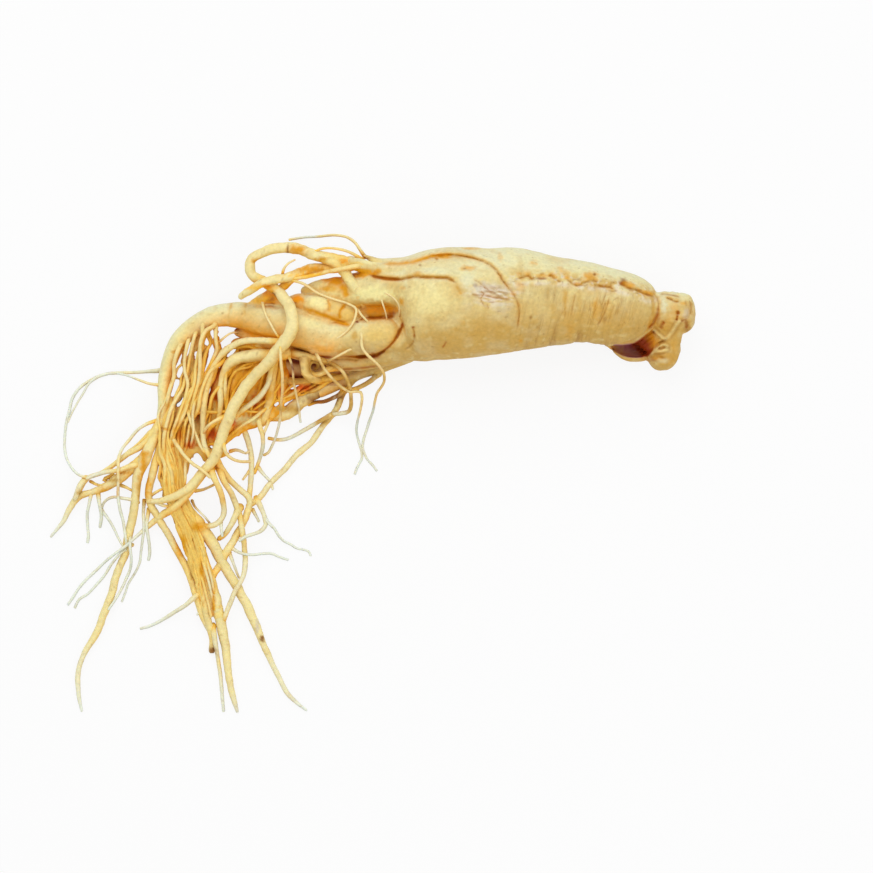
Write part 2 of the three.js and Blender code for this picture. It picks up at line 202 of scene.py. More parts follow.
FANNED_ROOTS = [
    [(-57.2, 39.4, 7.8, 0.7), (-57.6, 36, 9, 1.1), (-58.7, 28, 8, 1.1), (-60, 20, 6.5, 1.1),
     (-62.5, 12, 5, 1.1), (-65, 4, 4.5, 1.1)],
    [(-30, 44.5, 17, 1.2), (-38, 45.2, 14.8, 1.1), (-43, 44.8, 13.5, 1.1), (-47.5, 42.5, 12, 1.1),
     (-51.5, 38.5, 10.5, 1.1), (-54, 32.5, 9.5, 1.1), (-55.7, 25, 8.5, 1.1), (-56.2, 17, 8, 1),
     (-55.5, 10, 8, 0.9), (-53, 5, 9, 0.9)],
    [(-70, 19, 5.6, 1.6), (-73, 12, 5.8, 1.9), (-76, 5, 5.6, 2), (-78, -1, 5, 1.7), (-78.7, -7, 4.2, 1.4),
     (-79.6, -12.5, 3.2, 1.4), (-81, -19, 2.2, 1.4), (-82.5, -26, 1.8, 1.4), (-85, -32.5, 1.6, 1.3),
     (-87.2, -40, 1.5, 1.3), (-89.8, -47, 1.5, 1.3), (-92.2, -53, 1.4, 1.2), (-95.3, -58, 1.2, 1),
     (-97.6, -63.5, 1.1, 0.9), (-98.3, -69, 1, 0.8), (-97.8, -74, 0.9, 0.7), (-96.9, -78.6, 0.6, 0.4)],
    [(-75, 7, 5.5, 1.8), (-80, 2.8, 4.5, 1.7), (-84.5, -0.8, 3.6, 1.8), (-88.5, -3.4, 2.8, 1.5),
     (-93, -5.4, 2.2, 1.1), (-97.5, -6.6, 1.8, 1.2), (-100.5, -10.5, 1.4, 1), (-103, -15, 1.1, 0.8),
     (-107.2, -20.3, 0.6, 0.4)],
    [(-72, 15, 6, 1.6), (-77.5, 10, 5.5, 1.3), (-82, 7, 4.8, 1), (-86, 3.8, 4, 0.8), (-90, 1.2, 3.2, 0.8),
     (-95, -0.9, 2.4, 0.7), (-98, -5.6, 1.8, 0.9)],
    [(-69.5, 14, 5.5, 1.3), (-71.5, 7, 5, 1.3), (-73.4, 0, 4.4, 1.3), (-74.6, -6, 3.8, 1.2),
     (-73, -11, 3.2, 1.2), (-70, -16, 2.6, 1.2), (-66.8, -21.5, 2.4, 1.2), (-63.8, -27, 2.6, 1.2),
     (-61, -32.5, 3, 1.2), (-59.3, -38, 3, 1.1), (-57.9, -43, 2.8, 1), (-56.2, -48, 2.4, 0.8),
     (-54.6, -51.5, 2, 0.6)],
    [(-62, -10, 4.5, 1.6), (-58, -16, 4, 2.2), (-54.5, -20.5, 3.2, 2.1), (-51.5, -25.5, 2.4, 1.8),
     (-48.5, -31, 1.9, 1.6), (-45, -37, 1.8, 1.6), (-42, -42.5, 1.7, 1.6), (-39, -49, 1.6, 1.5),
     (-36.5, -55.5, 1.4, 1.2), (-34, -61, 1.2, 1), (-31, -67, 1, 0.9), (-28, -72.8, 0.9, 0.8),
     (-24.5, -76.2, 0.8, 0.6), (-21.8, -78.3, 0.6, 0.4)],
    [(-56.2, -28, 2.4, 1.4), (-54.4, -34.5, 2.8, 1.8), (-52.2, -41, 2.9, 1.9), (-50.6, -48, 2.2, 1.7),
     (-49.3, -54, 1.8, 1.6), (-48.5, -60, 1.5, 1.4), (-47.9, -66, 1.3, 1.2), (-46.9, -71.5, 1.2, 1.1),
     (-45.8, -75.5, 1, 0.9), (-44.9, -78.8, 0.7, 0.5)],
    [(-52, 6.5, 9, 1.2), (-50, 2.5, 6.5, 1), (-47.5, -1, 4.5, 1), (-44, -4.5, 3, 1), (-40.8, -8, 2.2, 1.1),
     (-41.5, -12, 1.9, 1.2), (-43.5, -17, 1.8, 1.2), (-46.5, -22, 2, 1.3), (-49, -26.5, 2.2, 1.3),
     (-50.6, -29.5, 2.2, 1.3), (-53.5, -34, 3.2, 1.2)],
    [(-6, 32.5, 4.4, 1.2), (-9.8, 27, 3.2, 1.1), (-12, 22, 2, 1), (-16, 17, 1.2, 1), (-20, 11.5, 1.1, 1),
     (-25, 7, 1.1, 1), (-30, 1.2, 1.1, 1), (-34, -2.5, 1.2, 1), (-38, -7.8, 1.7, 1), (-41.2, -10, 2, 1)],
    [(-43.5, 17.5, 3, 1), (-41.5, 12.5, 2, 1), (-40.1, 6, 1.4, 0.9), (-40.3, -1, 1.3, 0.9),
     (-41, -8.5, 2, 0.9)],
]


# ------------------------ helpers


def noise(points, size, seed=0):
    """Smooth random values between about -1 and 1, with features `size` mm across."""
    spots = points / size + seed * 17.31
    corner = np.floor(spots)
    ease = spots - corner
    ease = ease * ease * (3 - 2 * ease)
    corner = corner.astype(np.int64)
    total = np.zeros(len(points))
    for step in itertools.product((0, 1), repeat=3):
        cell = corner + step      # its value is a hash of its numbers
        mixed = cell[:, 0] * 374761393 + cell[:, 1] * 668265263 + cell[:, 2] * 1442695041
        mixed = (mixed ^ (mixed >> 13)) * 1274126177
        value = ((mixed ^ (mixed >> 16)) & 65535) / 32767.5 - 1
        weight = np.prod(np.where(step, ease, 1 - ease), axis=1)
        total += weight * value
    return total


def patches(points, size, seed, gain=1, lift=0, top=1):
    """Soft patches: noise times `gain` plus `lift`, kept between 0 and `top`."""
    return np.clip(gain * noise(points, size, seed) + lift, 0, top)


def ramp(values, start, run):
    """0 up to `start`, then rising to 1 over `run`; a negative run makes it rise downwards."""
    return np.clip((values - start) / run, 0, 1)


def bell(distance, width):
    """1 at no distance, falling smoothly to almost 0 at twice the width."""
    return np.exp(-(distance / width) ** 2)


def off_middle(points, middle, reach):
    """In plan, how far points are from a middle along X and along Y, in units of its reach."""
    return [(points[:, axis] - middle[axis]) / reach[axis] for axis in (0, 1)]


def oval_bell(points, middle, reach):
    """In plan, 1 at a middle, falling smoothly to almost 0 at twice its reach."""
    across, along = off_middle(points, middle, reach)
    return np.exp(-across ** 2 - along ** 2)


def oval_distance(places, centre, radii):
    """How far places are from the centre of an oval ball, whose surface is at 1."""
    return np.sqrt(sum(((p - c) / r) ** 2 for p, c, r in zip(places, centre, radii)))


def faded_ends(along, rate, least=0):
    """1 along a path, falling to `least` at both its ends."""
    return np.clip(np.minimum(along, 1 - along) * rate + least, 0, 1)


def evened(values, times):
    """Values along a thread with their bends rounded off; its two ends stay."""
    values = values.copy()
    for _ in range(times):
        values[1:-1] = (values[:-2] + 2 * values[1:-1] + values[2:]) / 4
    return values


def unit(vectors):
    """The vectors at length 1."""
    return vectors / np.maximum(np.linalg.norm(vectors, axis=1), 1e-9)[:, None]


def smooth_route(route, step):
    """The route as rows about `step` mm apart on a smooth curve through its points."""
    knots = np.array([tuple(point[:4]) for point in route], float)
    gaps = np.linalg.norm(np.diff(knots[:, :3], axis=0), axis=1)
    slopes = np.diff(knots, axis=0) / gaps[:, None]
    tangents = np.vstack([slopes[:1], slopes[:-1], slopes[-1:]])[:len(knots)]
    inner = (slopes[:-1] * gaps[1:, None] + slopes[1:] * gaps[:-1, None])
    tangents[1:-1] = inner / (gaps[:-1] + gaps[1:])[:, None]
    tangents[-1] = slopes[-1]
    rows = []
    for i, gap in enumerate(gaps):
        count = max(1, round(gap / step))
        t = np.arange(count)[:, None] / count
        rows.append((2 * t**3 - 3 * t**2 + 1) * knots[i] + (t**3 - 2 * t**2 + t) * gap * tangents[i]
                    + (3 * t**2 - 2 * t**3) * knots[i + 1] + (t**3 - t**2) * gap * tangents[i + 1])
    rows = np.vstack(rows + [knots[-1:]])
    rows[:, 3] = np.maximum(rows[:, 3], min(knots[:, 3]) * 0.8)
    return rows


def along_route(rows):
    """The length of the route up to each of its rows."""
    return np.concatenate([[0], np.cumsum(np.linalg.norm(np.diff(rows[:, :3], axis=0), axis=1))])


def plan_distance(points, path):
    """In plan: each point's distance to a path, how far along it is, and if it is on its left."""
    path = np.array(path, float)
    best = np.full(len(points), 1e9)
    along = np.zeros(len(points))
    left = np.zeros(len(points), bool)
    for i, (start, end) in enumerate(zip(path[:-1], path[1:])):
        run = end - start
        offset = points[:, :2] - start
        t = np.clip(offset @ run / (run @ run), 0, 1)
        far = np.hypot(*(offset - t[:, None] * run).T)
        closer = far < best
        best[closer] = far[closer]
        along[closer] = (i + t[closer]) / (len(path) - 1)
        left[closer] = (run[0] * offset[:, 1] - run[1] * offset[:, 0])[closer] > 0
    return best, along, left


def linear(colour):
    """A colour written as #RRGGBB, as linear light."""
    parts = np.array([int(colour[i:i + 2], 16) for i in (1, 3, 5)]) / 255
    return np.where(parts > 0.04045, ((parts + 0.055) / 1.055) ** 2.4, parts / 12.92)


def mix(a, b, share):
    """Colour a with a share of colour b; the share is one number or one for each point."""
    share = np.asarray(share)[..., None]
    return a * (1 - share) + b * share


def layered(tint, *coats):
    """The tint under coats of paint, each of them a colour and its share."""
    for colour, share in coats:
        tint = mix(tint, colour, share)
    return tint


def build_mesh(name, points, faces, tint, lined=None):
    """A smooth shaded mesh object from points in mm, with a colour for every point."""
    mesh = bpy.data.meshes.new(name)
    faces = np.asarray(faces, np.int32)
    mesh.vertices.add(len(points))
    mesh.vertices.foreach_set("co", (np.asarray(points) * MM).ravel())
    mesh.loops.add(faces.size)
    mesh.loops.foreach_set("vertex_index", faces.ravel())
    mesh.polygons.add(len(faces))
    mesh.polygons.foreach_set("loop_start", np.arange(len(faces), dtype=np.int32) * faces.shape[1])
    mesh.polygons.foreach_set("use_smooth", np.ones(len(faces), bool))
    mesh.update(calc_edges=True)
    layer = mesh.color_attributes.new("tint", "FLOAT_COLOR", "POINT")
    layer.data.foreach_set("color", np.column_stack([tint, np.ones(len(points))]).ravel())
    if lined is not None:
        mesh.attributes.new("lined", "FLOAT", "POINT").data.foreach_set("value", lined)
    mesh.validate()
    piece = bpy.data.objects.new(name, mesh)
    bpy.context.collection.objects.link(piece)
    return piece


def thinned(points, faces, coarse, values):
    """The mesh as triangles, with fewer points where it is coarse, and the values at them.

    Merged points leave some triangles flat and some double; none of these stays.
    """
    cells = np.floor(points / COARSE_CELL).astype(np.int64) + CELL_NUMBERS // 4
    keys = (cells[:, 0] * CELL_NUMBERS + cells[:, 1]) * CELL_NUMBERS + cells[:, 2]
    keys = np.where(coarse, keys, -1 - np.arange(len(points)))
    _, group = np.unique(keys, return_inverse=True)
    count = np.bincount(group)
    merged = [np.column_stack([np.bincount(group, column) / count for column in part.T])
              for part in (points, values)]
    corners = group[faces]
    triangles = np.vstack([corners[:, [0, 1, 2]], corners[:, [0, 2, 3]]])
    a, b, c = triangles.T
    triangles = triangles[(a != b) & (b != c) & (c != a)]
    _, first = np.unique(np.sort(triangles, axis=1), axis=0, return_index=True)
    return merged[0], triangles[np.sort(first)], merged[1]


# ------------------------ fields of melted flesh


class FleshField:
    """Signed distance to the flesh, negative inside, on a grid of FLESH_CELL mm."""

    def __init__(self, low, high):
        """A field without flesh, from one corner to the other."""
        self.low = np.array(low, float)
        counts = np.ceil((np.array(high) - self.low) / FLESH_CELL).astype(int) + 1
        self.axes = [self.low[a] + np.arange(counts[a]) * FLESH_CELL for a in range(3)]
        self.values = np.full(counts, FAR_OFF)

    def window(self, centre, reach):
        """The slices of the grid within `reach` mm of a point."""
        first = np.floor((np.array(centre) - reach - self.low) / FLESH_CELL).astype(int)
        last = np.ceil((np.array(centre) + reach - self.low) / FLESH_CELL).astype(int) + 1
        first, last = np.maximum(first, 0), np.minimum(last, self.values.shape)
        return tuple(slice(a, b) for a, b in zip(first, last))

    def coordinates(self, window):
        """X, Y and Z in a window, shaped so that they combine into its grid."""
        x, y, z = (axis[part] for axis, part in zip(self.axes, window))
        return x[:, None, None], y[None, :, None], z[None, None, :]

    def add_oval_body(self, stations):
        """The taproot: ovals along X whose middle and size follow the stations."""
        rows = smooth_stations(stations, TUBE_STEP)
        x = np.clip(self.axes[0], rows[0, 0], rows[-1, 0])
        mid_y, mid_z, wide, tall = (np.interp(x, rows[:, 0], rows[:, c]) for c in (1, 2, 3, 4))
        past = np.abs(self.axes[0] - x)
        across = (self.axes[1][None, :] - mid_y[:, None]) / wide[:, None]
        upward = (self.axes[2][None, :] - mid_z[:, None]) / tall[:, None]
        round_off = np.sqrt(across[:, :, None] ** 2 + upward[:, None, :] ** 2)
        half = np.sqrt(wide * tall)[:, None, None]
        self.values = np.minimum(self.values, (round_off - 1) * half + past[:, None, None])

    def add_tube(self, rows, blend):
        """A tube of balls along the rows, melted into what is there over `blend` mm."""
        tube = np.full(self.values.shape, FAR_OFF, np.float32)
        for x0, y0, z0, radius in rows:
            window = self.window((x0, y0, z0), radius + 3)
            x, y, z = self.coordinates(window)
            far = np.sqrt((x - x0) ** 2 + (y - y0) ** 2 + (z - z0) ** 2) - radius
            tube[window] = np.minimum(tube[window], far)
        near = tube < FAR_OFF - 0.1
        self.values[near] = melt(self.values[near], tube[near], blend)

    def add_oval_ball(self, centre, radii, blend, hollow=False):
        """An oval ball that is added, or taken away where it is hollow."""
        window = self.window(centre, max(radii) + 3)
        ball = (oval_distance(self.coordinates(window), centre, radii) - 1) * min(radii)
        here = self.values[window]
        self.values[window] = -melt(-here, ball, blend) if hollow else melt(here, ball, blend)

    def shape_skin(self, height):
        """Moves the surface outwards by height(points), in mm, near where it is now."""
        near = np.argwhere(np.abs(self.values) < 2.4)
        points = self.low + near * FLESH_CELL
        self.values[tuple(near.T)] -= height(points)

    def slope(self, spots):
        """The field and its gradient at points given in grid units."""
        base = np.clip(np.floor(spots).astype(int), 0, np.array(self.values.shape) - 2)
        part = spots - base
        value = np.zeros(len(spots))
        gradient = np.zeros((len(spots), 3))
        for step in itertools.product((0, 1), repeat=3):
            corner = self.values[tuple((base + step).T)]
            shares = np.where(step, part, 1 - part)
            value += corner * shares.prod(axis=1)
            for a in range(3):
                others = shares[:, (a + 1) % 3] * shares[:, (a + 2) % 3]
                gradient[:, a] += corner * others * (1 if step[a] else -1)
        return value, gradient / FLESH_CELL

    def crossings(self, cells):
        """In each cell, the middle of the places where the surface crosses its edges."""
        total, hits = np.zeros((len(cells), 3)), np.zeros(len(cells))
        for axis in range(3):
            for pair in itertools.product((0, 1), repeat=2):
                start = np.insert(pair, axis, 0)
                end = np.insert(pair, axis, 1)
                f0 = self.values[tuple((cells + start).T)]
                f1 = self.values[tuple((cells + end).T)]
                crossed = (f0 < 0) != (f1 < 0)
                t = np.where(crossed, f0 / np.where(crossed, f0 - f1, 1), 0)
                total += np.where(crossed[:, None], start + t[:, None] * (end - start), 0)
                hits += crossed
        return total / hits[:, None]

    def pulled_back(self, spots):
        """Points in grid units moved onto the surface, along the field's slope."""
        value, gradient = self.slope(spots)
        steepness = np.maximum((gradient ** 2).sum(axis=1), 0.05)
        move = (value / steepness)[:, None] * gradient / FLESH_CELL
        return spots - np.clip(move, -0.6, 0.6)

    def mesh(self):
        """Points in mm and four-sided faces of the surface where the field is zero."""
        inside = self.values < 0
        count = np.zeros(np.array(inside.shape) - 1, np.int8)
        for step in itertools.product((0, 1), repeat=3):
            count += inside[tuple(slice(s, s + n) for s, n in zip(step, count.shape))]
        cells = np.argwhere((count > 0) & (count < 8))
        number = np.full(count.shape, -1, np.int64)
        number[tuple(cells.T)] = np.arange(len(cells))
        faces = surface_faces(inside, number)
        spots = cells + self.crossings(cells)
        for _ in range(2):
            spots = self.pulled_back(relax(spots, faces))
        return self.low + spots * FLESH_CELL, faces


def surface_faces(inside, number):
    """The faces round every grid edge that crosses the surface, from its cells' numbers."""
    step = np.eye(3, dtype=int)
    faces = []
    for axis in range(3):
        one, two = (axis + 1) % 3, (axis + 2) % 3
        low_part, high_part = [slice(1, -1)] * 3, [slice(1, -1)] * 3
        low_part[axis], high_part[axis] = slice(0, -1), slice(1, None)
        f0, f1 = inside[tuple(low_part)], inside[tuple(high_part)]
        edges = np.argwhere(f0 != f1)
        outward = f0[tuple(edges.T)]
        base = edges + 1
        base[:, axis] -= 1
        around = [base - step[one] - step[two], base - step[two], base, base - step[one]]
        quads = np.column_stack([number[tuple(cell.T)] for cell in around])
        quads[~outward] = quads[~outward][:, ::-1]
        faces.append(quads)
    return np.vstack(faces)


def smooth_stations(stations, step):
    """Stations of the oval body, read smoothly every `step` mm of its length."""
    knots = np.array(stations, float)
    widths = smooth_route(stations, step)
    heights = np.interp(widths[:, 0], knots[:, 0], knots[:, 4] / knots[:, 3])
    return np.column_stack([widths, widths[:, 3] * heights])


def melt(a, b, blend):
    """The smaller of two distances, rounded where they are within `blend` mm."""
    share = np.maximum(blend - np.abs(a - b), 0) / blend
    return np.minimum(a, b) - share * share * blend / 4


def neighbour_sums(points, faces):
    """For every point, the sum of its neighbours over the faces, and how many they are."""
    total, hits = np.zeros_like(points), np.zeros(len(points))
    for side in range(faces.shape[1]):
        a, b = faces[:, side], faces[:, (side + 1) % faces.shape[1]]
        for one, other in ((a, b), (b, a)):
            for c in range(3):
                total[:, c] += np.bincount(one, points[other, c], len(points))
            hits += np.bincount(one, minlength=len(points))
    return total, hits


def relax(points, faces):
    """Points moved halfway to the middle of their neighbours."""
    total, hits = neighbour_sums(points, faces)
    return points + 0.5 * (total / np.maximum(hits, 1)[:, None] - points)


def point_normals(points, faces):
    """The outward direction of a mesh of four-sided faces at each of its points."""
    corners = points[faces]
    face_normals = np.cross(corners[:, 2] - corners[:, 0], corners[:, 3] - corners[:, 1])
    normals = np.zeros_like(points)
    for side in range(4):
        for c in range(3):
            normals[:, c] += np.bincount(faces[:, side], face_normals[:, c], len(points))
    return unit(normals)


def field_at(field, points):
    """The field's signed distance at any points."""
    return field.slope((points - field.low) / FLESH_CELL)[0]


def sunken(field, points, normals, reach):
    """0 to 1 where other flesh stands within `reach` mm in front of the skin."""
    return 1 - np.clip(field_at(field, points + reach * normals) / reach, 0, 1)


def ringed(rows, amount, size, seed, pinches=()):
    """Rows of a tube whose radius has ring wrinkles and tight pinches at given places."""
    rows = rows.copy()
    spots = np.column_stack([along_route(rows), np.full(len(rows), seed * 3.7), np.zeros(len(rows))])
    rows[:, 3] *= 1 + amount * noise(spots, size, seed) + amount * noise(spots, size * 3.5, seed + 1)
    for place, depth in pinches:
        rows[:, 3] *= 1 - depth * bell(rows[:, 0] - place, 0.7)
    return rows


def add_root(field, route, blend, wrinkling=0, size=2, seed=0, pinches=()):
    """Melts the flesh along a route into the field, with ring wrinkles where it has any."""
    rows = smooth_route(route, TUBE_STEP)
    if wrinkling:
        rows = ringed(rows, wrinkling, size, seed, pinches)
    field.add_tube(rows, blend)


# ------------------------ marks, painted shade and painted highlights on the skin
# Paths and places are (x, y) in mm, seen from above, on the upper side of the root.

CREAM, OCHRE, PALE = linear("#ECDFA0"), linear("#CB9F48"), linear("#E3E3BE")
AMBER, BARK, RUST, PLUM = linear("#E09A08"), linear("#90591A"), linear("#8C1E02"), linear("#A4606A")
GOLD, HONEY, FRINGE = linear("#FAD07A"), linear("#F8A416"), linear("#C6C2A6")
GREY, OLIVE, EMBER = linear("#CDC3B0"), linear("#DC9C18"), linear("#9C3A0E")
ORANGE, SAFFRON, TAWNY = linear("#F09A00"), linear("#F9BF38"), linear("#E8A628")
WINE, DEEP_SHADE_ORANGE = linear("#7A3026"), linear("#DE6004")
STRAW, BUTTER, SILVER = linear("#EBC566"), linear("#F8EDA8"), linear("#EDEBE0")
ROOT_YELLOW, ROOT_PALE, YOLK = linear("#F4E096"), linear("#E9EEDB"), linear("#FCE68C")

# path, half width, depth, lip, colour, half width of the colour, its strength. The lip is how
# much the skin stands out beside the crease: to the left of the path, or the right if negative.
# The colours are partly each crease's own dark line and partly painted shade in it; the wide amber and
# honey ones are painted shade only.
CREASES = [
    ([(14, 70.9), (20, 72.7), (26, 73.3), (30, 73), (34, 72.2), (37, 71.2), (39.5, 69.9), (41.3, 68.2),
     (42.7, 66.2), (43.6, 64.6), (45.2, 62.6), (47.2, 60.2)], 0.4, 0.5, 0.5, BARK, 0.27, 0.85),
    ([(4, 70.5), (9, 70.5), (14, 71), (20, 72.9), (28, 73.3)], 0.5, 0.2, 0.2, AMBER, 0.65, 0.8),
    ([(46.5, 61), (48, 58.8), (48.8, 56.6), (49.1, 54.6), (48.9, 52.4), (48.4, 49)], 0.4, 0.4, -0.25, BARK,
     0.27, 0.8),
    ([(-0.5, 66.8), (1.5, 66), (5, 65.4), (10, 65.1), (14, 66), (20, 65.7), (25.3, 65.5), (27, 64.7),
     (28.4, 63.6)], 0.5, 0.9, 0.2, BARK, 0.34, 0.95),
    ([(0, 66.6), (2.5, 65.9), (6, 65.4), (9.8, 65.1)], 0.5, 0.3, 0, RUST, 0.42, 1),
    ([(28, 64), (28.8, 61.8), (30, 60)], 0.5, 0.2, 0.25, OCHRE, 0.5, 0.7),
    ([(48.3, 65.3), (50, 65.7), (52, 66.3), (53.3, 65.3), (55, 65.7), (56.5, 65.2), (58.3, 65.5)], 0.42,
     0.5, -0.3, BARK, 0.34, 0.75),
    ([(58.6, 66.2), (59.8, 66.4), (60.8, 65.4), (61.9, 64.7), (62.9, 64.5)], 0.42, 0.5, -0.3, BARK, 0.34,
     0.85),
    ([(64.6, 65.2), (66.6, 64), (68, 63.1), (69.4, 63.2), (70.4, 64), (72, 64.5), (73.8, 64.8),
     (75.4, 64.2)], 0.42, 0.55, -0.4, BARK, 0.34, 0.7),
    ([(74.8, 63.5), (77, 62.7), (79, 62.7), (80.4, 62)], 0.42, 0.45, -0.3, BARK, 0.34, 0.8),
    ([(80.8, 64.4), (82.6, 63.8), (84.5, 62.9), (86.5, 62), (88.5, 61.6), (90.3, 60.7), (92, 60.2),
     (93.8, 59.5)], 0.42, 0.6, -0.35, BARK, 0.36, 0.85),
    ([(78.4, 61.6), (80, 61.2), (81.5, 61.5)], 0.35, 0.25, 0, BARK, 0.28, 0.5),
    ([(10.6, 51.2), (10.1, 49.3), (9, 47.2), (7.7, 45), (6, 43.1), (4, 41.6), (2, 40.5), (0, 40),
     (-5, 39.8), (-12, 39.8)], 0.4, 0.8, 0, RUST, 0.36, 1.15),
    ([(13.6, 49.6), (14.3, 48), (14.4, 46), (14, 44.3), (12.8, 43), (11.2, 42)], 0.4, 0.35, 0, BARK, 0.3,
     0.65),
    ([(23.6, 42.6), (24.4, 43.6), (25, 44.8)], 0.4, 0.35, 0, RUST, 0.3, 0.8),
    ([(33.3, 60.1), (35.5, 59.8), (37, 59.9)], 0.3, 0.25, 0, BARK, 0.22, 0.5),
    ([(37, 59.9), (39.5, 59.4), (41, 59), (43, 58.7), (44.6, 58.6), (46.2, 58.3)], 0.4, 0.35, -0.15, BARK,
     0.3, 0.7),
    ([(36.2, 61.4), (37.3, 60.2), (36.2, 58.6), (36.9, 57.2), (37.8, 56)], 0.3, 0.3, 0, BARK, 0.2, 0.6),
    ([(34, 64.9), (35.8, 64.1), (37.2, 62.8), (38, 61.8)], 0.3, 0.25, 0, BARK, 0.2, 0.45),
    ([(38.4, 58), (40, 57.4), (42, 57.7)], 0.3, 0.2, 0, BARK, 0.2, 0.45),
    ([(38.3, 56.9), (38.9, 55.5)], 0.3, 0.2, 0, BARK, 0.2, 0.45),
    ([(35.6, 62.8), (37.6, 62.4), (39.4, 61.2), (41, 60.8)], 0.3, 0.3, -0.2, BARK, 0.22, 0.5),
    ([(39, 62.6), (41, 62.4), (42.6, 61.2), (44.4, 60.6)], 0.3, 0.25, -0.2, BARK, 0.2, 0.4),
    ([(78.8, 58.6), (77.6, 54.8), (76.1, 51.8), (74.9, 50)], 0.35, 0.3, 0.1, BARK, 0.26, 0.6),
    ([(77.6, 57.5), (76.4, 54)], 0.35, 0.2, 0.1, BARK, 0.26, 0.4),
    ([(67.7, 60.5), (66.9, 57), (66.2, 53)], 0.35, 0.22, 0.1, BARK, 0.26, 0.4),
    ([(64.8, 61.5), (64.2, 57), (64.3, 52)], 0.4, 0.2, 0.1, OCHRE, 0.4, 0.6),
    ([(80.6, 57), (79.4, 53.5), (78.4, 50.5)], 0.35, 0.2, 0.1, BARK, 0.26, 0.35),
    ([(97.8, 59.4), (99.4, 58.7), (101, 58), (102.2, 57.9)], 0.4, 0.5, 0.25, BARK, 0.32, 0.8),
    ([(96, 60.6), (99.5, 60.3), (102.4, 59.5)], 0.4, 0.4, 0.2, BARK, 0.3, 0.6),
    ([(94.8, 60), (95.4, 57), (95.1, 54.6)], 0.45, 0.4, 0, BARK, 0.3, 0.55),
    ([(95.3, 56), (94.9, 53.6), (93.6, 50.8), (92, 49)], 0.5, 0.7, 0, RUST, 0.45, 0.9),
    ([(101.8, 54.8), (101.8, 53.6)], 0.55, 1.1, 0, RUST, 0.6, 1),
    ([(101.7, 53.6), (101.3, 51.6)], 0.4, 0.7, 0, RUST, 0.35, 0.9),
    ([(102.9, 51.4), (104.2, 52), (104.9, 50.2), (104.5, 49)], 0.45, 0.7, 0.2, RUST, 0.4, 0.8),
    ([(106, 58), (106.3, 55.8), (105.9, 53.6)], 0.5, 0.35, 0.2, BARK, 0.4, 0.5),
    ([(104.3, 58.2), (104.8, 56.4)], 0.4, 0.3, 0.1, BARK, 0.3, 0.4),
    ([(97.3, 51.4), (96.5, 50.2), (96, 49)], 0.6, 0.6, 0.3, RUST, 0.55, 0.9),
    ([(92.4, 39.3), (94, 39.8), (96, 39.7), (98, 39.2)], 0.5, 0.4, 0.3, BARK, 0.5, 0.8),
    ([(95.2, 42.2), (96.6, 42.6), (97.8, 42.8)], 0.4, 0.4, 0, BARK, 0.35, 0.7),
    ([(94.6, 43.4), (96.2, 44.6), (98, 45.2)], 0.4, 0.35, 0, BARK, 0.35, 0.5),
    ([(93.6, 40.5), (95.4, 40.5), (97.6, 40.8)], 0.45, 0.4, 0, BARK, 0.4, 0.6),
    ([(99.6, 45.5), (100.8, 41.5), (100.2, 37.8)], 0.6, 0.35, 0, OCHRE, 0.6, 0.5),
    ([(-1.5, 52.6), (1, 52.5), (4.6, 52.8), (8, 53.2)], 0.5, 0.5, 0, RUST, 0.6, 1),
    ([(-13, 38.7), (-8, 38.9), (-4, 38.4)], 0.4, 0.4, 0, BARK, 0.35, 0.7),
    ([(-10, 35.4), (-4, 35.9), (2, 36.6)], 0.4, 0.5, 0, RUST, 0.4, 0.7),
    ([(-46.4, 58), (-46.9, 55.4), (-47.5, 52.5)], 0.35, 0.25, 0, OCHRE, 0.4, 0.7),
    ([(-41.4, 57.8), (-41.9, 55.4), (-42, 53)], 0.35, 0.2, 0, OCHRE, 0.35, 0.5),
    ([(-22, 55.6), (-17, 53.9), (-13, 52.2), (-10, 51), (-6.6, 50)], 0.5, 0.4, 0, AMBER, 0.6, 0.9),
    ([(-28, 43.4), (-24, 42.4), (-20, 40.9)], 0.5, 0.5, 0, BARK, 0.5, 0.9),
    ([(-16.4, 65.6), (-12.8, 65.3), (-10.2, 63.7), (-8.5, 61.3), (-7.8, 59.3)], 0.8, 0.3, 0, AMBER, 1, 1),
    ([(-14.3, 58.8), (-13.7, 56.7), (-14.1, 54.4)], 0.4, 0.5, 0, AMBER, 0.4, 0.6),
    ([(-8.4, 57.2), (-10, 55.3), (-10.5, 53.7), (-10.2, 52)], 0.4, 0.5, 0, AMBER, 0.4, 0.9),
    ([(-50, 49.4), (-46, 48.2), (-41, 47.2), (-36, 46.6), (-31, 45.6), (-26, 44.4)], 0.5, 0.1, 0, HONEY,
     1.4, 0.75),
]
# path, half width, height
RIDGES = [
    ([(96.9, 59), (97.1, 56.5), (97, 54)], 0.6, 0.6),
    ([(93.8, 60.6), (98, 60.2), (101, 59.5)], 0.5, 0.25),
    ([(62.5, 64), (64.5, 63.9), (66.5, 62.8), (68.5, 62.2)], 0.5, 0.35),
    ([(49.2, 60.5), (50.4, 61.6), (49.6, 63)], 0.6, 0.3),
    ([(-9.3, 68.6), (-8, 66.6), (-6.3, 64), (-5, 61.5), (-4, 59.5)], 1.3, 0.9),
    ([(49.9, 59.5), (49.8, 56.5), (50, 53.5)], 0.5, 0.25),
    ([(12.2, 50.6), (12.6, 48), (11.6, 45.4), (9.4, 43), (7, 41.2)], 1.5, 0.8),
    ([(32, 60.9), (33, 59.2), (34.5, 57.8)], 0.5, 0.3),
]
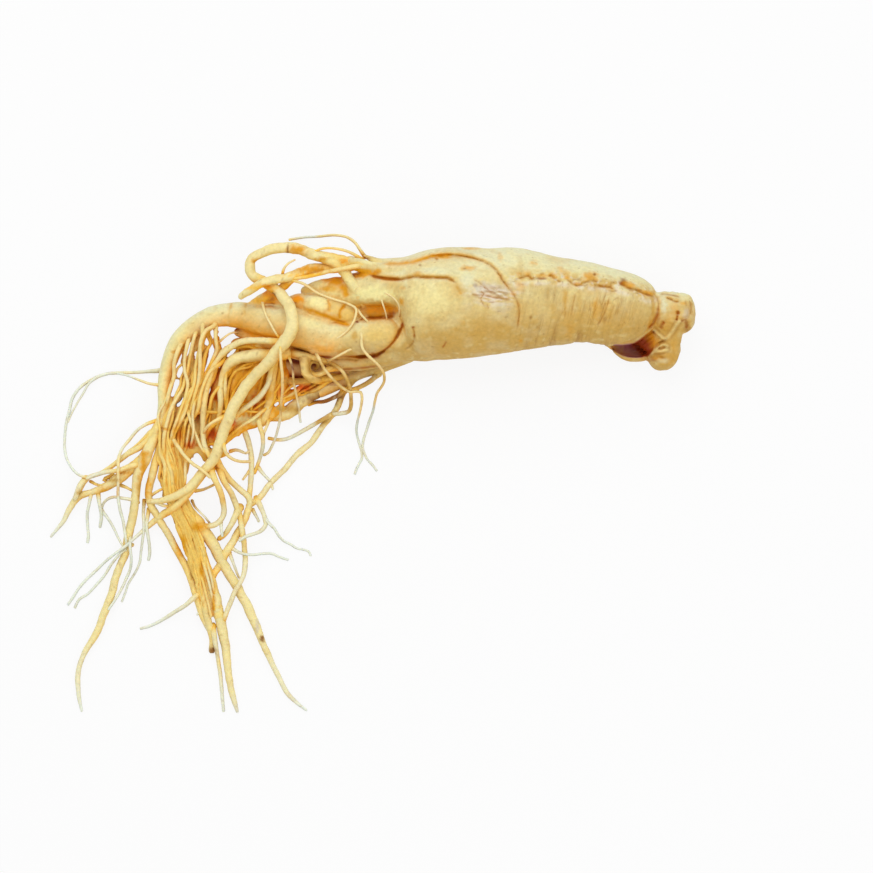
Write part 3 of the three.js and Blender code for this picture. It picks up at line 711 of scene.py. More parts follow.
# Spots on the skin, and painted shading: amber, orange, ochre, rust and wine where folds, recesses and the
# lower flank lie in shade, butter and straw where shaded places are painted lighter. Middle, half lengths
# along X and Y, colour, strength
SPOTS_AND_PAINTED_SHADING = [
    ((72.4, 66.6), (2.8, 1.7), AMBER, 0.7), ((74, 66.9), (0.5, 0.45), BARK, 0.8),
    ((64.7, 65.9), (1.5, 0.9), AMBER, 0.8), ((64.4, 67.6), (2, 1), AMBER, 0.35),
    ((83.6, 64.3), (1.2, 1.3), BARK, 0.8), ((83.2, 63.9), (0.8, 0.55), RUST, 0.8),
    ((85, 63.6), (2, 1), AMBER, 0.6), ((91.4, 60.9), (2.2, 0.9), AMBER, 0.8),
    ((91.7, 60.2), (0.8, 0.5), RUST, 0.6), ((89, 61.6), (1, 0.5), BARK, 0.6),
    ((54, 70.6), (1.7, 1), AMBER, 0.5), ((33, 75.6), (2.6, 0.5), AMBER, 0.6),
    ((42.8, 72.6), (0.8, 1.6), AMBER, 0.35), ((32.2, 68.9), (2.8, 1), AMBER, 0.7),
    ((31, 68.7), (0.6, 0.4), BARK, 0.6), ((34.4, 63.1), (0.9, 0.8), BARK, 0.95),
    ((16.3, 69.9), (0.5, 0.45), BARK, 0.7), ((21.7, 72), (0.6, 0.5), BARK, 0.9),
    ((24, 72.6), (2.6, 0.6), AMBER, 0.7), ((10.6, 62.3), (1.4, 0.7), AMBER, 0.4),
    ((10, 57.8), (0.9, 1.4), AMBER, 0.8), ((15.4, 67.1), (1.4, 0.8), AMBER, 0.5),
    ((1.8, 67.6), (1.2, 0.7), RUST, 0.7), ((2.8, 68), (1, 0.8), AMBER, 0.8),
    ((-4, 67.2), (3, 1), AMBER, 0.75), ((56.6, 65.5), (1.5, 0.5), RUST, 0.6),
    ((57, 66.4), (2.4, 0.6), AMBER, 0.6), ((60.6, 66.2), (1.6, 1), AMBER, 0.45),
    ((52, 67), (1, 1.2), AMBER, 0.35), ((48.8, 66.8), (0.8, 1), AMBER, 0.4),
    ((68.4, 63.6), (1.6, 0.6), AMBER, 0.6), ((77, 63), (1.6, 0.5), BARK, 0.6),
    ((52.8, 52.6), (0.5, 0.5), BARK, 0.6), ((55, 49.4), (0.6, 0.7), BARK, 0.35),
    ((14, 49.3), (0.55, 0.4), RUST, 0.8), ((14.3, 46.7), (0.4, 0.5), RUST, 0.8),
    ((49.2, 63), (1.6, 2), AMBER, 0.4), ((47, 60.3), (1, 0.9), AMBER, 0.7),
    ((43, 66), (0.6, 1), RUST, 0.35), ((32, 64.3), (3, 2.6), PALE, 0.6), ((40.5, 61), (7, 3.4), GREY, 0.6),
    ((37.4, 61.6), (3.4, 2.4), GREY, 0.45), ((43.5, 56.4), (3.8, 2.6), GREY, 0.25),
    ((38.6, 49.6), (9, 3.6), OCHRE, 0.6), ((32, 55), (2.2, 4), OCHRE, 0.25),
    ((74.6, 55.4), (1.5, 3.4), AMBER, 0.55), ((77.3, 51.8), (1, 1), BARK, 0.6),
    ((66, 49), (1.5, 3), AMBER, 0.4), ((60, 55), (1, 3), OCHRE, 0.4), ((99, 50), (2.4, 4.6), AMBER, 0.35),
    ((105, 49.6), (1.1, 1.8), BARK, 0.55), ((95.4, 53), (0.9, 2.4), RUST, 0.45),
    ((93.8, 38.8), (1.7, 0.9), RUST, 0.6), ((99.5, 39), (1.4, 2.6), AMBER, 0.4),
    ((-17.4, 57.6), (3.6, 2.9), BUTTER, 0.9), ((-12.2, 56), (2, 3), STRAW, 0.6),
    ((-8, 53.4), (2.6, 3), STRAW, 0.8), ((-14, 62.6), (5, 3), BUTTER, 0.9),
    ((-13.4, 62.2), (2.4, 1.3), STRAW, 0.9), ((3, 47.8), (7, 4.6), STRAW, 0.5),
    ((-11.2, 66.4), (1.6, 2.2), AMBER, 1), ((-22, 47), (6, 3), OCHRE, 0.3),
    ((-22, 51.5), (6, 2.4), BUTTER, 0.5), ((98.6, 46.5), (4.4, 5.6), OCHRE, 0.7),
    ((98.4, 38.6), (4, 3.6), OCHRE, 0.7), ((97, 56.4), (1.3, 2.9), PALE, 0.7),
    ((93.6, 55), (0.9, 4), OCHRE, 0.7), ((45, 46), (12, 4), OCHRE, 0.35), ((68, 50), (14, 5), OCHRE, 0.45),
    ((86, 53), (7, 6), OCHRE, 0.4), ((25, 44.6), (8, 4), OCHRE, 0.4), ((2.4, 55.4), (5.4, 2.2), OLIVE, 1),
    ((1, 54.2), (3, 1.4), AMBER, 0.6), ((6.8, 54.2), (1.3, 1), RUST, 0.9),
    ((-63, 43.2), (1.1, 0.8), AMBER, 0.8), ((-65.6, 41.3), (0.9, 0.6), AMBER, 0.7),
    ((-67.4, 32.4), (1.8, 1.2), AMBER, 0.8), ((-33.5, 59), (3.4, 1.6), HONEY, 0.9),
    ((-34.5, 58.4), (0.7, 0.5), RUST, 0.6), ((-35, 61), (0.6, 0.8), RUST, 0.5),
    ((20, 58), (7, 5), BUTTER, 0.45), ((0, 60.6), (9, 2.6), BUTTER, 0.95),
    ((-17, 64), (3, 1.4), BUTTER, 0.7), ((-24.8, 36.2), (1.9, 2.4), WINE, 0.9),
    ((-17.9, 36.6), (1.6, 1.5), WINE, 0.9), ((-4.7, 51.3), (0.7, 0.5), RUST, 0.9),
    ((-3.1, 52.2), (0.6, 0.4), RUST, 0.9), ((1.2, 40), (1.6, 1), RUST, 0.8),
    ((10.3, 50), (0.6, 0.8), RUST, 0.9), ((-15, 39.6), (2, 0.5), RUST, 0.9),
    ((-24, 42.2), (3, 0.5), BARK, 0.8), ((-9.5, 71), (0.9, 0.8), AMBER, 0.95),
    ((-24.3, 58.7), (2.3, 1.5), AMBER, 0.95), ((-25.2, 57.6), (0.5, 0.4), RUST, 0.6),
    ((-11, 64.4), (2.6, 1.1), AMBER, 0.9), ((-14, 65.6), (3, 0.7), AMBER, 0.8),
    ((-8.6, 61.8), (0.9, 2), AMBER, 0.9), ((-5.4, 46.6), (0.9, 1.8), OCHRE, 0.8),
    ((-43, 54), (0.5, 0.4), BARK, 0.4), ((-49.4, 54.2), (0.4, 0.4), BARK, 0.5),
    ((-61, 46), (0.4, 0.4), BARK, 0.5), ((-12.6, 52.8), (2.4, 0.8), AMBER, 0.5),
    ((64.2, 58.4), (0.9, 3.6), OCHRE, 0.5), ((69, 56.6), (0.9, 4.4), OCHRE, 0.5),
    ((58.6, 60.8), (0.5, 1.6), OCHRE, 0.4), ((84.6, 52), (1.2, 2), OCHRE, 0.4),
    ((30, 51), (1.4, 0.7), AMBER, 0.25), ((49.6, 44.8), (0.6, 0.6), AMBER, 0.5),
    ((20, 68.5), (4, 0.8), PALE, 0.4), ((62.8, 68.8), (1.2, 0.8), AMBER, 0.35),
    ((86.8, 63.4), (1.2, 0.6), AMBER, 0.5), ((103.6, 57.4), (1.2, 0.6), AMBER, 0.5),
    ((104.6, 54), (1.2, 2), GREY, 0.5), ((100.4, 55.6), (1.4, 1.6), AMBER, 0.3),
    ((94.3, 39.4), (1.6, 0.8), AMBER, 0.6), ((97, 38.4), (2, 0.8), PALE, 0.4),
    ((-11.8, 64.4), (3.4, 2.6), AMBER, 0.6), ((-3.4, 66.9), (4, 1), AMBER, 0.8),
    ((-15.5, 62.4), (2.2, 1.1), AMBER, 0.7), ((-24.2, 59), (2.1, 1.4), ORANGE, 0.95),
    ((-34.4, 60.6), (2, 1.4), ORANGE, 0.8), ((-33.3, 58.8), (1.2, 0.8), RUST, 0.7),
    ((0.5, 67.2), (1.2, 0.6), ORANGE, 0.9), ((0, 71.2), (3, 1.1), BUTTER, 0.7),
    ((76, 56), (5, 6), OCHRE, 0.35), ((50, 65), (2.6, 1.3), BUTTER, 0.4),
    ((-38, 58.8), (4.4, 1.5), SAFFRON, 0.8), ((-2.4, 68.1), (5, 0.9), AMBER, 0.95),
    ((-4.4, 70.4), (3, 0.7), STRAW, 0.8), ((2.6, 55.6), (6.4, 1.5), HONEY, 0.7),
    ((-21, 62), (2.4, 1.6), STRAW, 0.8), ((-4.4, 54.6), (1.6, 2), STRAW, 0.8),
]
LIT_SIDE = np.array([-0.3, 0.95, 0])   # the side of every root toward the light: painted paler there as highlight, painted shade opposite
BEND_SIDE = np.array([-1, 0.15, 0])     # and of the main leg where it bends down, painted in the same way
HOLLOW = (88.1, 44.5, 11.4)        # middle of the hollow under the neck end of the taproot, whose inside is painted dark as shade
HOLLOW_REACH = (8.3, 5, 6.6)
HOLLOW_EDGE = [(78.7, 43.7), (83.7, 43.5), (87.4, 44.1), (90.8, 46.2), (92.8, 48.7), (94.8, 52.8)]
SCAR = [(48, 65.5), (60, 65.8), (72, 64.3), (82, 63.3), (93, 59.8)]
WRINKLED = (70, 24)                # the place along X of the ring wrinkles, and their reach
# Middle and reach along X and Y of the cracked skin, of the grey shreds on it, and of the
# darkest painted shade in the recess under the main leg
CRACKLED, TORN = ((40.5, 59), (6, 3.4)), ((40.5, 60), (6.5, 3.2))
DARKEST = ((-22.4, 36), (5, 2.4))


def upper_side(points):
    """1 on the upper side of the root, falling to 0 on its underside."""
    return ramp(points[:, 2], 8, 3)


def wrinkled(points):
    """0 to 1 where the taproot has ring wrinkles, below its long scar."""
    x, y, _ = points.T
    middle, reach = WRINKLED
    below_scar = ramp(np.interp(x, *np.array(SCAR).T) - 1.5, y, 3)
    uneven = patches(points * (1, 0.8, 0.5), 5, 33, 1, 0.6)
    return uneven * below_scar * np.clip(1.2 - np.abs(x - middle) / reach, 0, 1)


def wrinkles(points):
    """0 to 1 in the broader ring wrinkles; the finest ones are in the material."""
    x, y, z = points.T
    bent = x - 0.26 * y + 0.5 * noise(points, 6, 31)
    lines = noise(np.column_stack([bent, y * 0.14, z * 0.1]), 2.1, 32)
    return bell(lines, 0.28) * wrinkled(points)


def skin_height(points):
    """How far the skin stands out from the plain flesh, in mm."""
    x = points[:, 0]
    upper = upper_side(points)
    calm_on_legs = np.maximum(ramp(x, -6, 10), 0.25)
    height = calm_on_legs * (0.42 * noise(points, 13, 1) + 0.16 * noise(points, 5.5, 2))
    height += 0.05 * noise(points, 2, 3) + 0.03 * noise(points, 1.1, 8)
    height -= 0.34 * wrinkles(points)
    for path, half_width, depth, lip, *_ in CREASES:
        far, along, left = plan_distance(points, path)
        ends = faded_ends(along, 7) * upper
        height -= depth * ends * bell(far, half_width)
        height += abs(lip) * ends * (bell(far - 1.3, 0.9) * (left == (lip > 0)))
    for path, half_width, tall in RIDGES:
        far, along, _ = plan_distance(points, path)
        height += upper * tall * faded_ends(along, 6) * bell(far, half_width)
    scar, _, _ = plan_distance(points, SCAR)
    height += upper * bell(scar, 1.8) * (0.5 * noise(points, 1.6, 5) + 0.22 * noise(points, 0.8, 4))
    height += upper * 0.2 * oval_bell(points, *CRACKLED) * noise(points, 1, 9)
    rough_neck = 0.3 * noise(points, 3.4, 6) + 0.22 * noise(points, 1.5, 7)
    return height + ramp(x, 93, 4) * rough_neck


def plain_skin(points, normals, field):
    """The skin without its marks: painted highlight on its lit side, painted shade in ochre on the far
    side, painted shade in amber and rust in its folds.
    """
    x, y, _ = points.T
    bend = ramp(x, -46, -8) * ramp(y, 54, -6)
    legs = ramp(x, -8, -6)
    side = normals @ LIT_SIDE * (1 - bend) + normals @ BEND_SIDE * bend
    painted_shade = np.clip(0.5 - 0.8 * side + 0.12 * noise(points, 8, 11), 0, 1) ** (1 + 0.7 * legs)
    # near and wide: how sunken the skin is within 2 and 5 mm, used below to paint shade into its folds
    near = sunken(field, points, normals, 2) * (1 - 0.5 * ramp(x, 8, 6) * (y > 60))
    wide = sunken(field, points, normals, 5) * (1 - 0.6 * np.clip(2.5 * normals[:, 2] - 1, 0, 1))
    wide *= 1 - 0.5 * (x > -2) * (x < 18)
    return layered(
        mix(CREAM, BUTTER, 0.8 * bend),
        # Painted shade on the side away from the light, and painted highlights on the lit side and on the
        # outer side of the bend
        (mix(OCHRE, HONEY, legs), 0.85 * painted_shade),
        (PALE, 0.8 * np.clip(side * 1.6 - 0.5, 0, 1) * (1 - 0.6 * bend)),
        (PALE, 0.9 * (ramp(normals @ (-0.8, 0.9, 0), 0.4, 1) * bend)),
        (OCHRE, 0.35 * patches(points, 6, 12, 1, 0.1)),
        (PALE, 0.3 * patches(points, 4, 13)),
        (OCHRE, 0.3 * patches(points, 2.3, 21, 1.6, -0.4)),
        (CREAM, 0.4 * patches(points, 1.5, 22, 1.6, -0.4)),
        (BARK, 0.5 * wrinkles(points)),
        # Painted shade: amber where the skin is sunken, rust in its tightest folds
        (AMBER, np.clip(1.1 * wide, 0, 0.8) * (1 - 0.6 * bend)),
        (RUST, np.clip(1.4 * near - 0.6, 0, 0.8) * (1 - bend)))


def spotted_and_shaded(points, tint, shown):
    """The tint with the table's spots and painted shading on it, where they are shown."""
    frayed = 0.3 * noise(points, 0.8, 14) + 0.3 * noise(points, 2.2, 16)
    for middle, reach, colour, strength in SPOTS_AND_PAINTED_SHADING:
        off = np.hypot(*off_middle(points, middle, reach)) + frayed
        share = np.clip((1.45 - off) / 1.15, 0, 1)
        tint = mix(tint, colour, strength * shown * share * share * (3 - 2 * share))
    return tint


def paint_recess_shade(points, normals, tint):
    """The tint with painted shade, ember and wine red, on the low flesh between the main leg and the root
    under it.
    """
    x, y, z = points.T
    under = ramp(z, 6.5, -1.5) * ramp(x, -7, -3) * (y < 41) * (y > 30)
    return layered(tint, (EMBER, under * np.clip(2 * normals[:, 2] + 0.6, 0, 1)),
                   (WINE, 0.95 * under * np.clip(1.6 * oval_bell(points, *DARKEST), 0, 1)))


def hollow_shade(points):
    """How deep in the hollow of the neck each point is, 0 to 1, and the painted shade there: plum, with
    rust and amber streaks toward the neck.
    """
    x, y, _ = points.T
    soft_end = 12 - 8 * ramp(x, 91, 3)
    deep = np.clip((1.09 - oval_distance(points.T, HOLLOW, HOLLOW_REACH)) * soft_end, 0, 1)
    far, _, above = plan_distance(points, HOLLOW_EDGE)
    deep = deep * np.clip(1 - above * far / 0.6, 0, 1)
    fibres = 0.35 * noise(np.column_stack([x - 1.1 * y, 0.2 * (x + y), 0 * x]), 0.8, 15)
    streaks = np.clip((x + 0.8 * (y - 42) - 86.4) / 2.4 + fibres, 0, 1)
    orange = np.clip((x + 0.5 * y - 113.5) / 4 + 0.6 * fibres, 0, 1)
    return deep, mix(PLUM, mix(RUST, AMBER, 0.06 + 0.8 * orange), streaks)


def paint_flesh(points, normals, field):
    """The colour of the flesh's skin at every point."""
    x, y, _ = points.T
    upper = upper_side(points)
    scar, _, above = plan_distance(points, SCAR)
    scarred = upper * bell(scar, 2.2)
    broken = scarred * patches(points, 1.4, 23, 1.8, 0.2, 0.8)
    tint = plain_skin(points, normals, field)
    lip = upper * bell(scar - 1.9, 0.9) * ~above
    tint = layered(
        tint,
        (SILVER, 0.5 * lip * patches(points, 1.8, 24, 1, 0.6)),
        (OCHRE, 0.7 * scarred * patches(points, 1.8, 17, 1.6, 0.3)),
        (BARK, 0.6 * scarred * patches(points, 0.9, 18, 2.2, -0.7)),
        (SILVER, 0.6 * scarred * patches(points, 1, 19, 2, -0.5, 0.7)),
        (BARK, 0.4 * upper * patches(points, 0.9, 53, 6, -4.4)))
    tint = spotted_and_shaded(points, tint, upper)
    torn = upper * oval_bell(points, *TORN)
    shreds = noise(np.column_stack([0.5 * x, 1.6 * y + 0.3 * x, 0 * x]), 1, 54)
    tint = layered(tint, (SILVER, torn * np.clip(2.2 * shreds + 0.1, 0, 0.9)),
                   (BARK, torn * np.clip(-2.2 * shreds - 0.6, 0, 0.6)))
    # Each crease is painted darker along its line, partly as shade, with a faint amber band of painted
    # shade beside it
    ragged = 0.7 + 0.6 * noise(points, 1.1, 14) + 0.4 * noise(points, 2.6, 16)
    for path, _, _, _, colour, half_width, strength in CREASES:
        far, along, _ = plan_distance(points, path)
        ends = faded_ends(along, 8, 0.2)
        amount = strength * ends * np.clip(0.3 + ragged, 0.35, 1.2) * (1 - broken)
        tint = layered(tint, (colour, upper * np.clip(amount * bell(far, half_width), 0, 1)),
                       (AMBER, upper * 0.3 * amount * bell(far / half_width, 3.4)))
    tint = paint_recess_shade(points, normals, tint)
    deep, inside = hollow_shade(points)
    tint = mix(tint, inside, deep)
    for path, radius in THREADS[:PALE_THREADS]:
        far, _, _ = plan_distance(points, path)
        here = upper * (1 - deep)
        tint = layered(tint, (BARK, 0.3 * here * bell(far - 1.9 * radius, 0.35)),
                       (CREAM, 0.4 * here * bell(far, radius)))
    leg_tip = np.minimum(ramp(y, 22, -12), 0.8) * (x < -50)
    return mix(tint, mix(STRAW, GOLD, patches(points, 2, 20, 1, 0.5)), leg_tip)


# ------------------------ the thick flesh


def lying_on(field, path, radius):
    """Rows of a thread of one radius, half sunk in the top of the flesh along an (x, y) path."""
    rows = smooth_route([(x, y, 0, radius) for x, y in path], 0.4)
    cells = np.round((rows[:, :2] - field.low[:2]) / FLESH_CELL).astype(int)
    solid = field.values[tuple(cells.T)] < 0
    top = (solid * np.arange(solid.shape[1])).max(axis=1) * FLESH_CELL + field.low[2]
    rows[:, 2] = evened(top, 6) + 0.35 * radius
    return rows


def make_flesh():
    """Taproot, neck and legs, melted together and meshed as one skin."""
    field = FleshField(*FLESH_BOX)
    field.add_oval_body(TAPROOT)
    add_root(field, SHOULDER, 3)
    add_root(field, TOP_FOLD, 2.5)
    add_root(field, RECESS_FLOOR, 1)
    add_root(field, NECK, 1.2, 0.02, 2, 21)
    for shoulder in NECK_SHOULDERS:
        add_root(field, shoulder, 2)
    field.add_oval_ball(FLAP, FLAP_REACH, 1)
    add_root(field, RIM_START, 0.8)
    add_root(field, NECK_LOBE, 1.5, 0.04, 3, 22)
    field.add_oval_ball(HOLLOW, HOLLOW_REACH, 0.6, hollow=True)
    add_root(field, HOLLOW_LIP, 1.4)
    add_root(field, NECK_RAMP, 1)
    add_root(field, MAIN_LEG, 1, 0.02, 2.2, 23, MAIN_LEG_PINCHES)
    add_root(field, SECOND_LEG, 0.5, 0.03, 2, 24, SECOND_LEG_PINCHES)
    add_root(field, SECOND_LEG_LUMP, 0.6, 0.03, 2, 28)
    for web in LEG_WEB:
        add_root(field, web, 1.5)
    add_root(field, THIRD_LEG, 1.2, 0.03, 2, 25)
    add_root(field, UNDER_FLESH, 1, 0.04, 2, 29)
    riding = [point for point in LOOP_ROOT if point[0] > -8 and point[1] > 60]
    add_root(field, riding, 0.7, 0.025, 2.2, 26)
    add_root(field, UNDER_ROOT[:5], 0.8, 0.03, 2, 27)
    for path, radius in THREADS:
        field.add_tube(lying_on(field, path, radius), 0.5)
    field.shape_skin(skin_height)
    points, faces = field.mesh()
    normals = point_normals(points, faces)
    tint = paint_flesh(points, normals, field)
    points[:, 2] = np.maximum(points[:, 2], 0)
    lined = wrinkled(points) * upper_side(points)
    underside = normals[:, 2] < -0.25
    points, faces, looks = thinned(points, faces, underside, np.column_stack([tint, lined]))
    return build_mesh("taproot_and_legs", points, faces, looks[:, :3], looks[:, 3]), points


# ------------------------ the heap, the side roots and the rootlets

# The trunk of roots below the bend, and how many thin roots lie down it
BUNDLE = [
    [(-69, 15, 4.4, 1.8), (-68.4, 9, 4.6, 2.7), (-67.2, 3, 4.4, 2.9), (-66.2, -4, 4, 2.6),
     (-64.4, -10, 3.8, 2.5), (-61.9, -16, 3.6, 2.6), (-59.6, -22, 3.3, 2.4), (-57.8, -28, 3.1, 2.2),
     (-56.3, -34, 2.9, 2), (-55, -40, 2.5, 1.7), (-54, -46, 2, 1.3)],
    [(-67.5, 0, 5, 1.4), (-66, -8, 5.2, 1.4), (-64.5, -13, 5, 1.4), (-62.4, -19, 4.8, 1.4),
     (-60, -25, 4.5, 1.3), (-58.2, -31, 4.2, 1.2), (-57, -37, 3.8, 1.2), (-55.6, -43, 3.2, 1.1),
     (-55, -48, 2.4, 1)],
    [(-64, -4, 4.6, 1.4), (-62.2, -9, 4.6, 1.7), (-60, -14, 4.6, 1.8), (-58.3, -21, 4.4, 1.8),
     (-56.8, -26, 4.2, 1.8), (-55.2, -31, 4, 1.8), (-53.4, -36, 3.6, 1.8), (-52, -42, 2.9, 1.8),
     (-50.5, -48, 2.2, 1.7)],
]
BUNDLE_FIBRES = 26
BUNDLE_STUB = [
    (-56.5, -42, 3, 1.1), (-55, -47, 2.6, 1.3), (-53.8, -51.5, 1.9, 1.2), (-53.1, -55, 1.5, 1.1),
    (-53.4, -58.6, 1.1, 1),
]
ARCH_ROOTS = [
    [(-28, 41, 12, 2), (-33.5, 40.2, 12, 2.2), (-38, 40.5, 12, 2.2), (-42.5, 39.8, 11.5, 2.1),
     (-46.5, 38, 10.8, 1.8), (-49, 34.5, 10, 1.3), (-50, 30, 9.2, 1.1), (-50.2, 24, 8.4, 1),
     (-51, 18, 7.2, 0.9), (-51.8, 13, 5.4, 0.8)],
    [(-32, 42, 12, 1.6), (-33, 34, 10.6, 1.5), (-33.8, 28, 8.6, 1.5), (-34.6, 22, 6.4, 1.4),
     (-36.5, 17.5, 4.6, 1.2)],
    [(-31, 43, 12, 1.3), (-33, 36, 12, 1), (-34.8, 30, 11.6, 0.9), (-37, 26.6, 11, 0.9),
     (-40, 24, 10.2, 0.9), (-43.5, 21.6, 9.4, 0.9), (-47, 19, 8, 0.8)],
    [(-9.5, 70, 21, 1.6), (-8.4, 67.4, 20.8, 1.8), (-6.6, 64.4, 20.2, 1.8), (-4.8, 61.6, 19.8, 1.7),
     (-3.4, 59.2, 18.2, 1.4)],
]

# Sheets of roots that spread from one line to another through the heap: how many broad and how
# many thin ones, radii of the broad, (x, y, z) where they leave, (x, y, z) where they meet,
# and their direction at each end.
FANS = [
    (12, 7, (0.9, 1.5), [(-52, 49.6, 9), (-57, 48, 8.6), (-62, 43, 7.6), (-66, 37, 6.4), (-68.5, 28, 5)],
     [(-63.5, 2, 3), (-66, 0, 4.6), (-68.6, 2, 3.6)], (-0.1, -1), (0.15, -1)),
    (14, 5, (0.9, 1.6), [(-31, 41, 6), (-38, 42, 6.5), (-45, 44, 8)], [(-49, 9, 2.8), (-55, 7, 2.8),
     (-60, 9, 2.8)], (-1, -0.5), (-0.4, -1)),
    (8, 3, (0.9, 1.4), [(-27, 27, 3), (-33, 22, 3), (-40, 19, 3)], [(-57, 9, 2.4), (-64, 9, 2.4),
     (-67, 13, 2.6)], (-1, 0.1), (-0.9, -0.5)),
    (9, 3, (0.8, 1.4), [(-29, 41, 5), (-33, 39, 6), (-39, 37, 7)], [(-30, 22, 2), (-38, 19, 2),
     (-45, 17, 2)], (-0.2, -1), (-0.2, -1)),
    (5, 3, (0.8, 1.2), [(-46, 41.6, 6), (-46, 43, 6.4), (-45, 44, 6.4)], [(-33, 41, 9), (-33, 42.4, 9),
     (-33, 43.6, 9)], (1, 0.1), (1, -0.1)),
    (6, 5, (0.8, 1.3), [(2, 36, 4), (-2, 36.4, 4), (-6, 36.5, 4)], [(-24, 27.5, 2), (-28, 25, 2),
     (-31, 26, 3)], (-1, -0.2), (-1, -0.5)),
]
BED_RADIUS, BED_HEIGHT = 2.3, 2.4      # the wide roots that close the bottom of the heap
BED_START = 0.36       # how far down the first fan its bottom starts; above it the fan is open
RISE, RISE_SPOT = 3, ((-40, 31), (11, 10))     # mm, how much the heap rises, and where
THIN_RADII = (0.4, 0.7)                 # mm, of the thin roots in the heap

# Slots in the heap where the surface below shows: (x, y, half width) at both ends
GAPS = [
    (-50, 47.3, 1, -46.3, 49.4, 1.4), (-50.2, 44.9, 0.55, -47.2, 46.6, 0.45),
    (-54.8, 44.5, 0.9, -53.1, 47.4, 1), (-53.2, 41.3, 0.7, -53.1, 42.2, 0.8),
    (-47.8, 40.3, 0.5, -45.7, 41.9, 0.6), (-58.4, 40.2, 0.5, -58.3, 40.8, 0.5),
    (-64.2, 33.6, 0.6, -63.4, 35.7, 0.85), (-66.3, 27, 0.5, -64.8, 31.2, 0.95),
    (-64.6, 23.6, 0.5, -62.7, 25.6, 0.65), (-58.2, 30.2, 0.4, -57.8, 31.1, 0.5),
    (-58.3, 6.6, 1, -56.8, 4.7, 0.5), (-53.6, 9.9, 0.5, -53.4, 9.5, 0.4), (-73.2, 5, 0.5, -71.8, 6.4, 0.6),
    (-28.6, 23.6, 0.5, -26.3, 24.8, 0.7), (-24.2, 26.4, 0.4, -23.1, 27.3, 0.5),
    (-32, 23.8, 0.5, -31.3, 24.4, 0.5), (-10.9, 30.4, 0.6, -9.6, 32.2, 0.6),
    (-7.2, 32.5, 0.4, -5.8, 33.6, 0.4), (-3.6, 32, 0.4, -0.5, 33.5, 0.4),
    (-46.8, 9.4, 2, -44.4, 11.6, 1.6),
]
# Deep places in the heap painted dark orange as their shade: (x, y), half lengths
DEEP_SHADE_SPOTS = [
    ((-63.8, 14), (0.8, 1.6)), ((-60.4, 10.6), (1.6, 1.2)), ((-53.2, 14), (2.2, 1.6)),
    ((-58.3, 20.6), (0.8, 2)), ((-54.2, 24.8), (1, 1.2)), ((-52.2, 26.4), (1, 1)),
    ((-48.6, 28), (0.6, 1.2)), ((-42.4, 42.8), (1, 0.4)), ((-41.6, 34.8), (3.6, 1)),
    ((-45.4, 31.4), (1.6, 1)), ((-38.8, 25.4), (1, 2.4)), ((-36, 27.6), (1, 2)), ((-46, 18), (1, 1.8)),
    ((-44.4, 49.2), (0.7, 0.9)), ((-67.6, 33), (1.2, 0.8)), ((-60.8, 30), (0.7, 1)),
    ((-31, 28.4), (1, 1.6)), ((-32.4, 33.4), (0.5, 1.4)), ((-23, 29.6), (3, 1.2)), ((-4, 35.2), (4, 0.7)),
    ((-56.6, 40.8), (0.8, 1)), ((-24.4, 34.6), (3.6, 2)),
]
# Golden places low in the heap, in the same way
GILDED = [
    ((-39.8, 34.7), (3.4, 2.6)), ((-43.8, 30.7), (2.6, 2.4)), ((-35.6, 28.6), (2.2, 4)),
    ((-39, 38.6), (4, 2)), ((-47.8, 34.7), (2, 2.4)), ((-63.8, 14.7), (2.4, 2.6)),
    ((-63.8, -23), (1.6, 4)), ((-75.8, -3), (2, 4)), ((-87.8, -5.3), (3, 1.4)), ((-46, 38), (4, 2)),
]
# Stains on the thick roots, and painted shading on them: amber, ochre, bark, ember and wine where they lie
# in shade, butter where they are lit. (x, y), half lengths, colour
STAINS_AND_PAINTED_SHADING = [
    ((-24.6, 75), (3.2, 1.7), AMBER), ((-27.6, 75.2), (0.4, 1.6), BARK),
    ((-16.4, 71.9), (2.2, 0.7), AMBER), ((-38, 71.4), (1.6, 0.8), AMBER),
    ((-33.6, 60.8), (2.2, 1.2), AMBER), ((-32.2, 60.2), (0.7, 0.8), BARK),
    ((-20, 68.6), (5.6, 1.4), AMBER), ((-36.5, 62.6), (5, 1), SAFFRON),
    ((-34.4, 62.9), (1.8, 0.7), ORANGE), ((-28.4, 63.2), (1.8, 1.4), AMBER),
    ((-24.8, 36.2), (1.7, 2.2), WINE), ((-17.9, 36.4), (1.5, 1.5), WINE), ((-27.4, 22.4), (4, 1.2), OCHRE),
    ((-20, 66.6), (7, 0.8), SAFFRON), ((-8.8, 71.4), (1.8, 0.9), ORANGE), ((-41, 18.8), (5, 1.2), BUTTER),
    ((-16.5, 25), (4.6, 0.9), EMBER), ((-7, 22.6), (1.6, 3.4), OCHRE), ((-53.4, -58.2), (1.4, 1.6), BARK),
    ((-36.6, -54.4), (0.8, 1), BARK), ((-38.2, -50.5), (0.5, 2), GREY), ((-97.8, -5.6), (0.7, 0.8), OCHRE),
    ((-60, -33), (0.6, 3), OCHRE), ((-15, 26.4), (6.5, 2.4), BARK), ((-4, 31.4), (9, 2.6), OCHRE),
    ((-19, 36.4), (3.4, 2.8), OCHRE), ((-24, 31.8), (5, 1.3), OCHRE), ((-12, 37.2), (5, 1.6), OCHRE),
    ((-16.5, 19), (4, 2), OCHRE), ((-75.6, 7.6), (1.8, 1), AMBER), ((-86, -1.4), (2.4, 0.6), OCHRE),
    ((-77.6, -4), (0.6, 4), OCHRE), ((-69, 15.6), (1.2, 0.6), AMBER), ((-68, 32), (1.4, 1), AMBER),
    ((-82.4, 1), (2, 0.5), AMBER), ((-76, 4), (1.2, 4), AMBER), ((-52.8, -42), (0.5, 4), AMBER),
    ((-57.8, -17), (2.6, 1.8), AMBER), ((-62.6, -23), (0.8, 2.4), AMBER), ((-56.8, -31), (0.6, 3), AMBER),
]

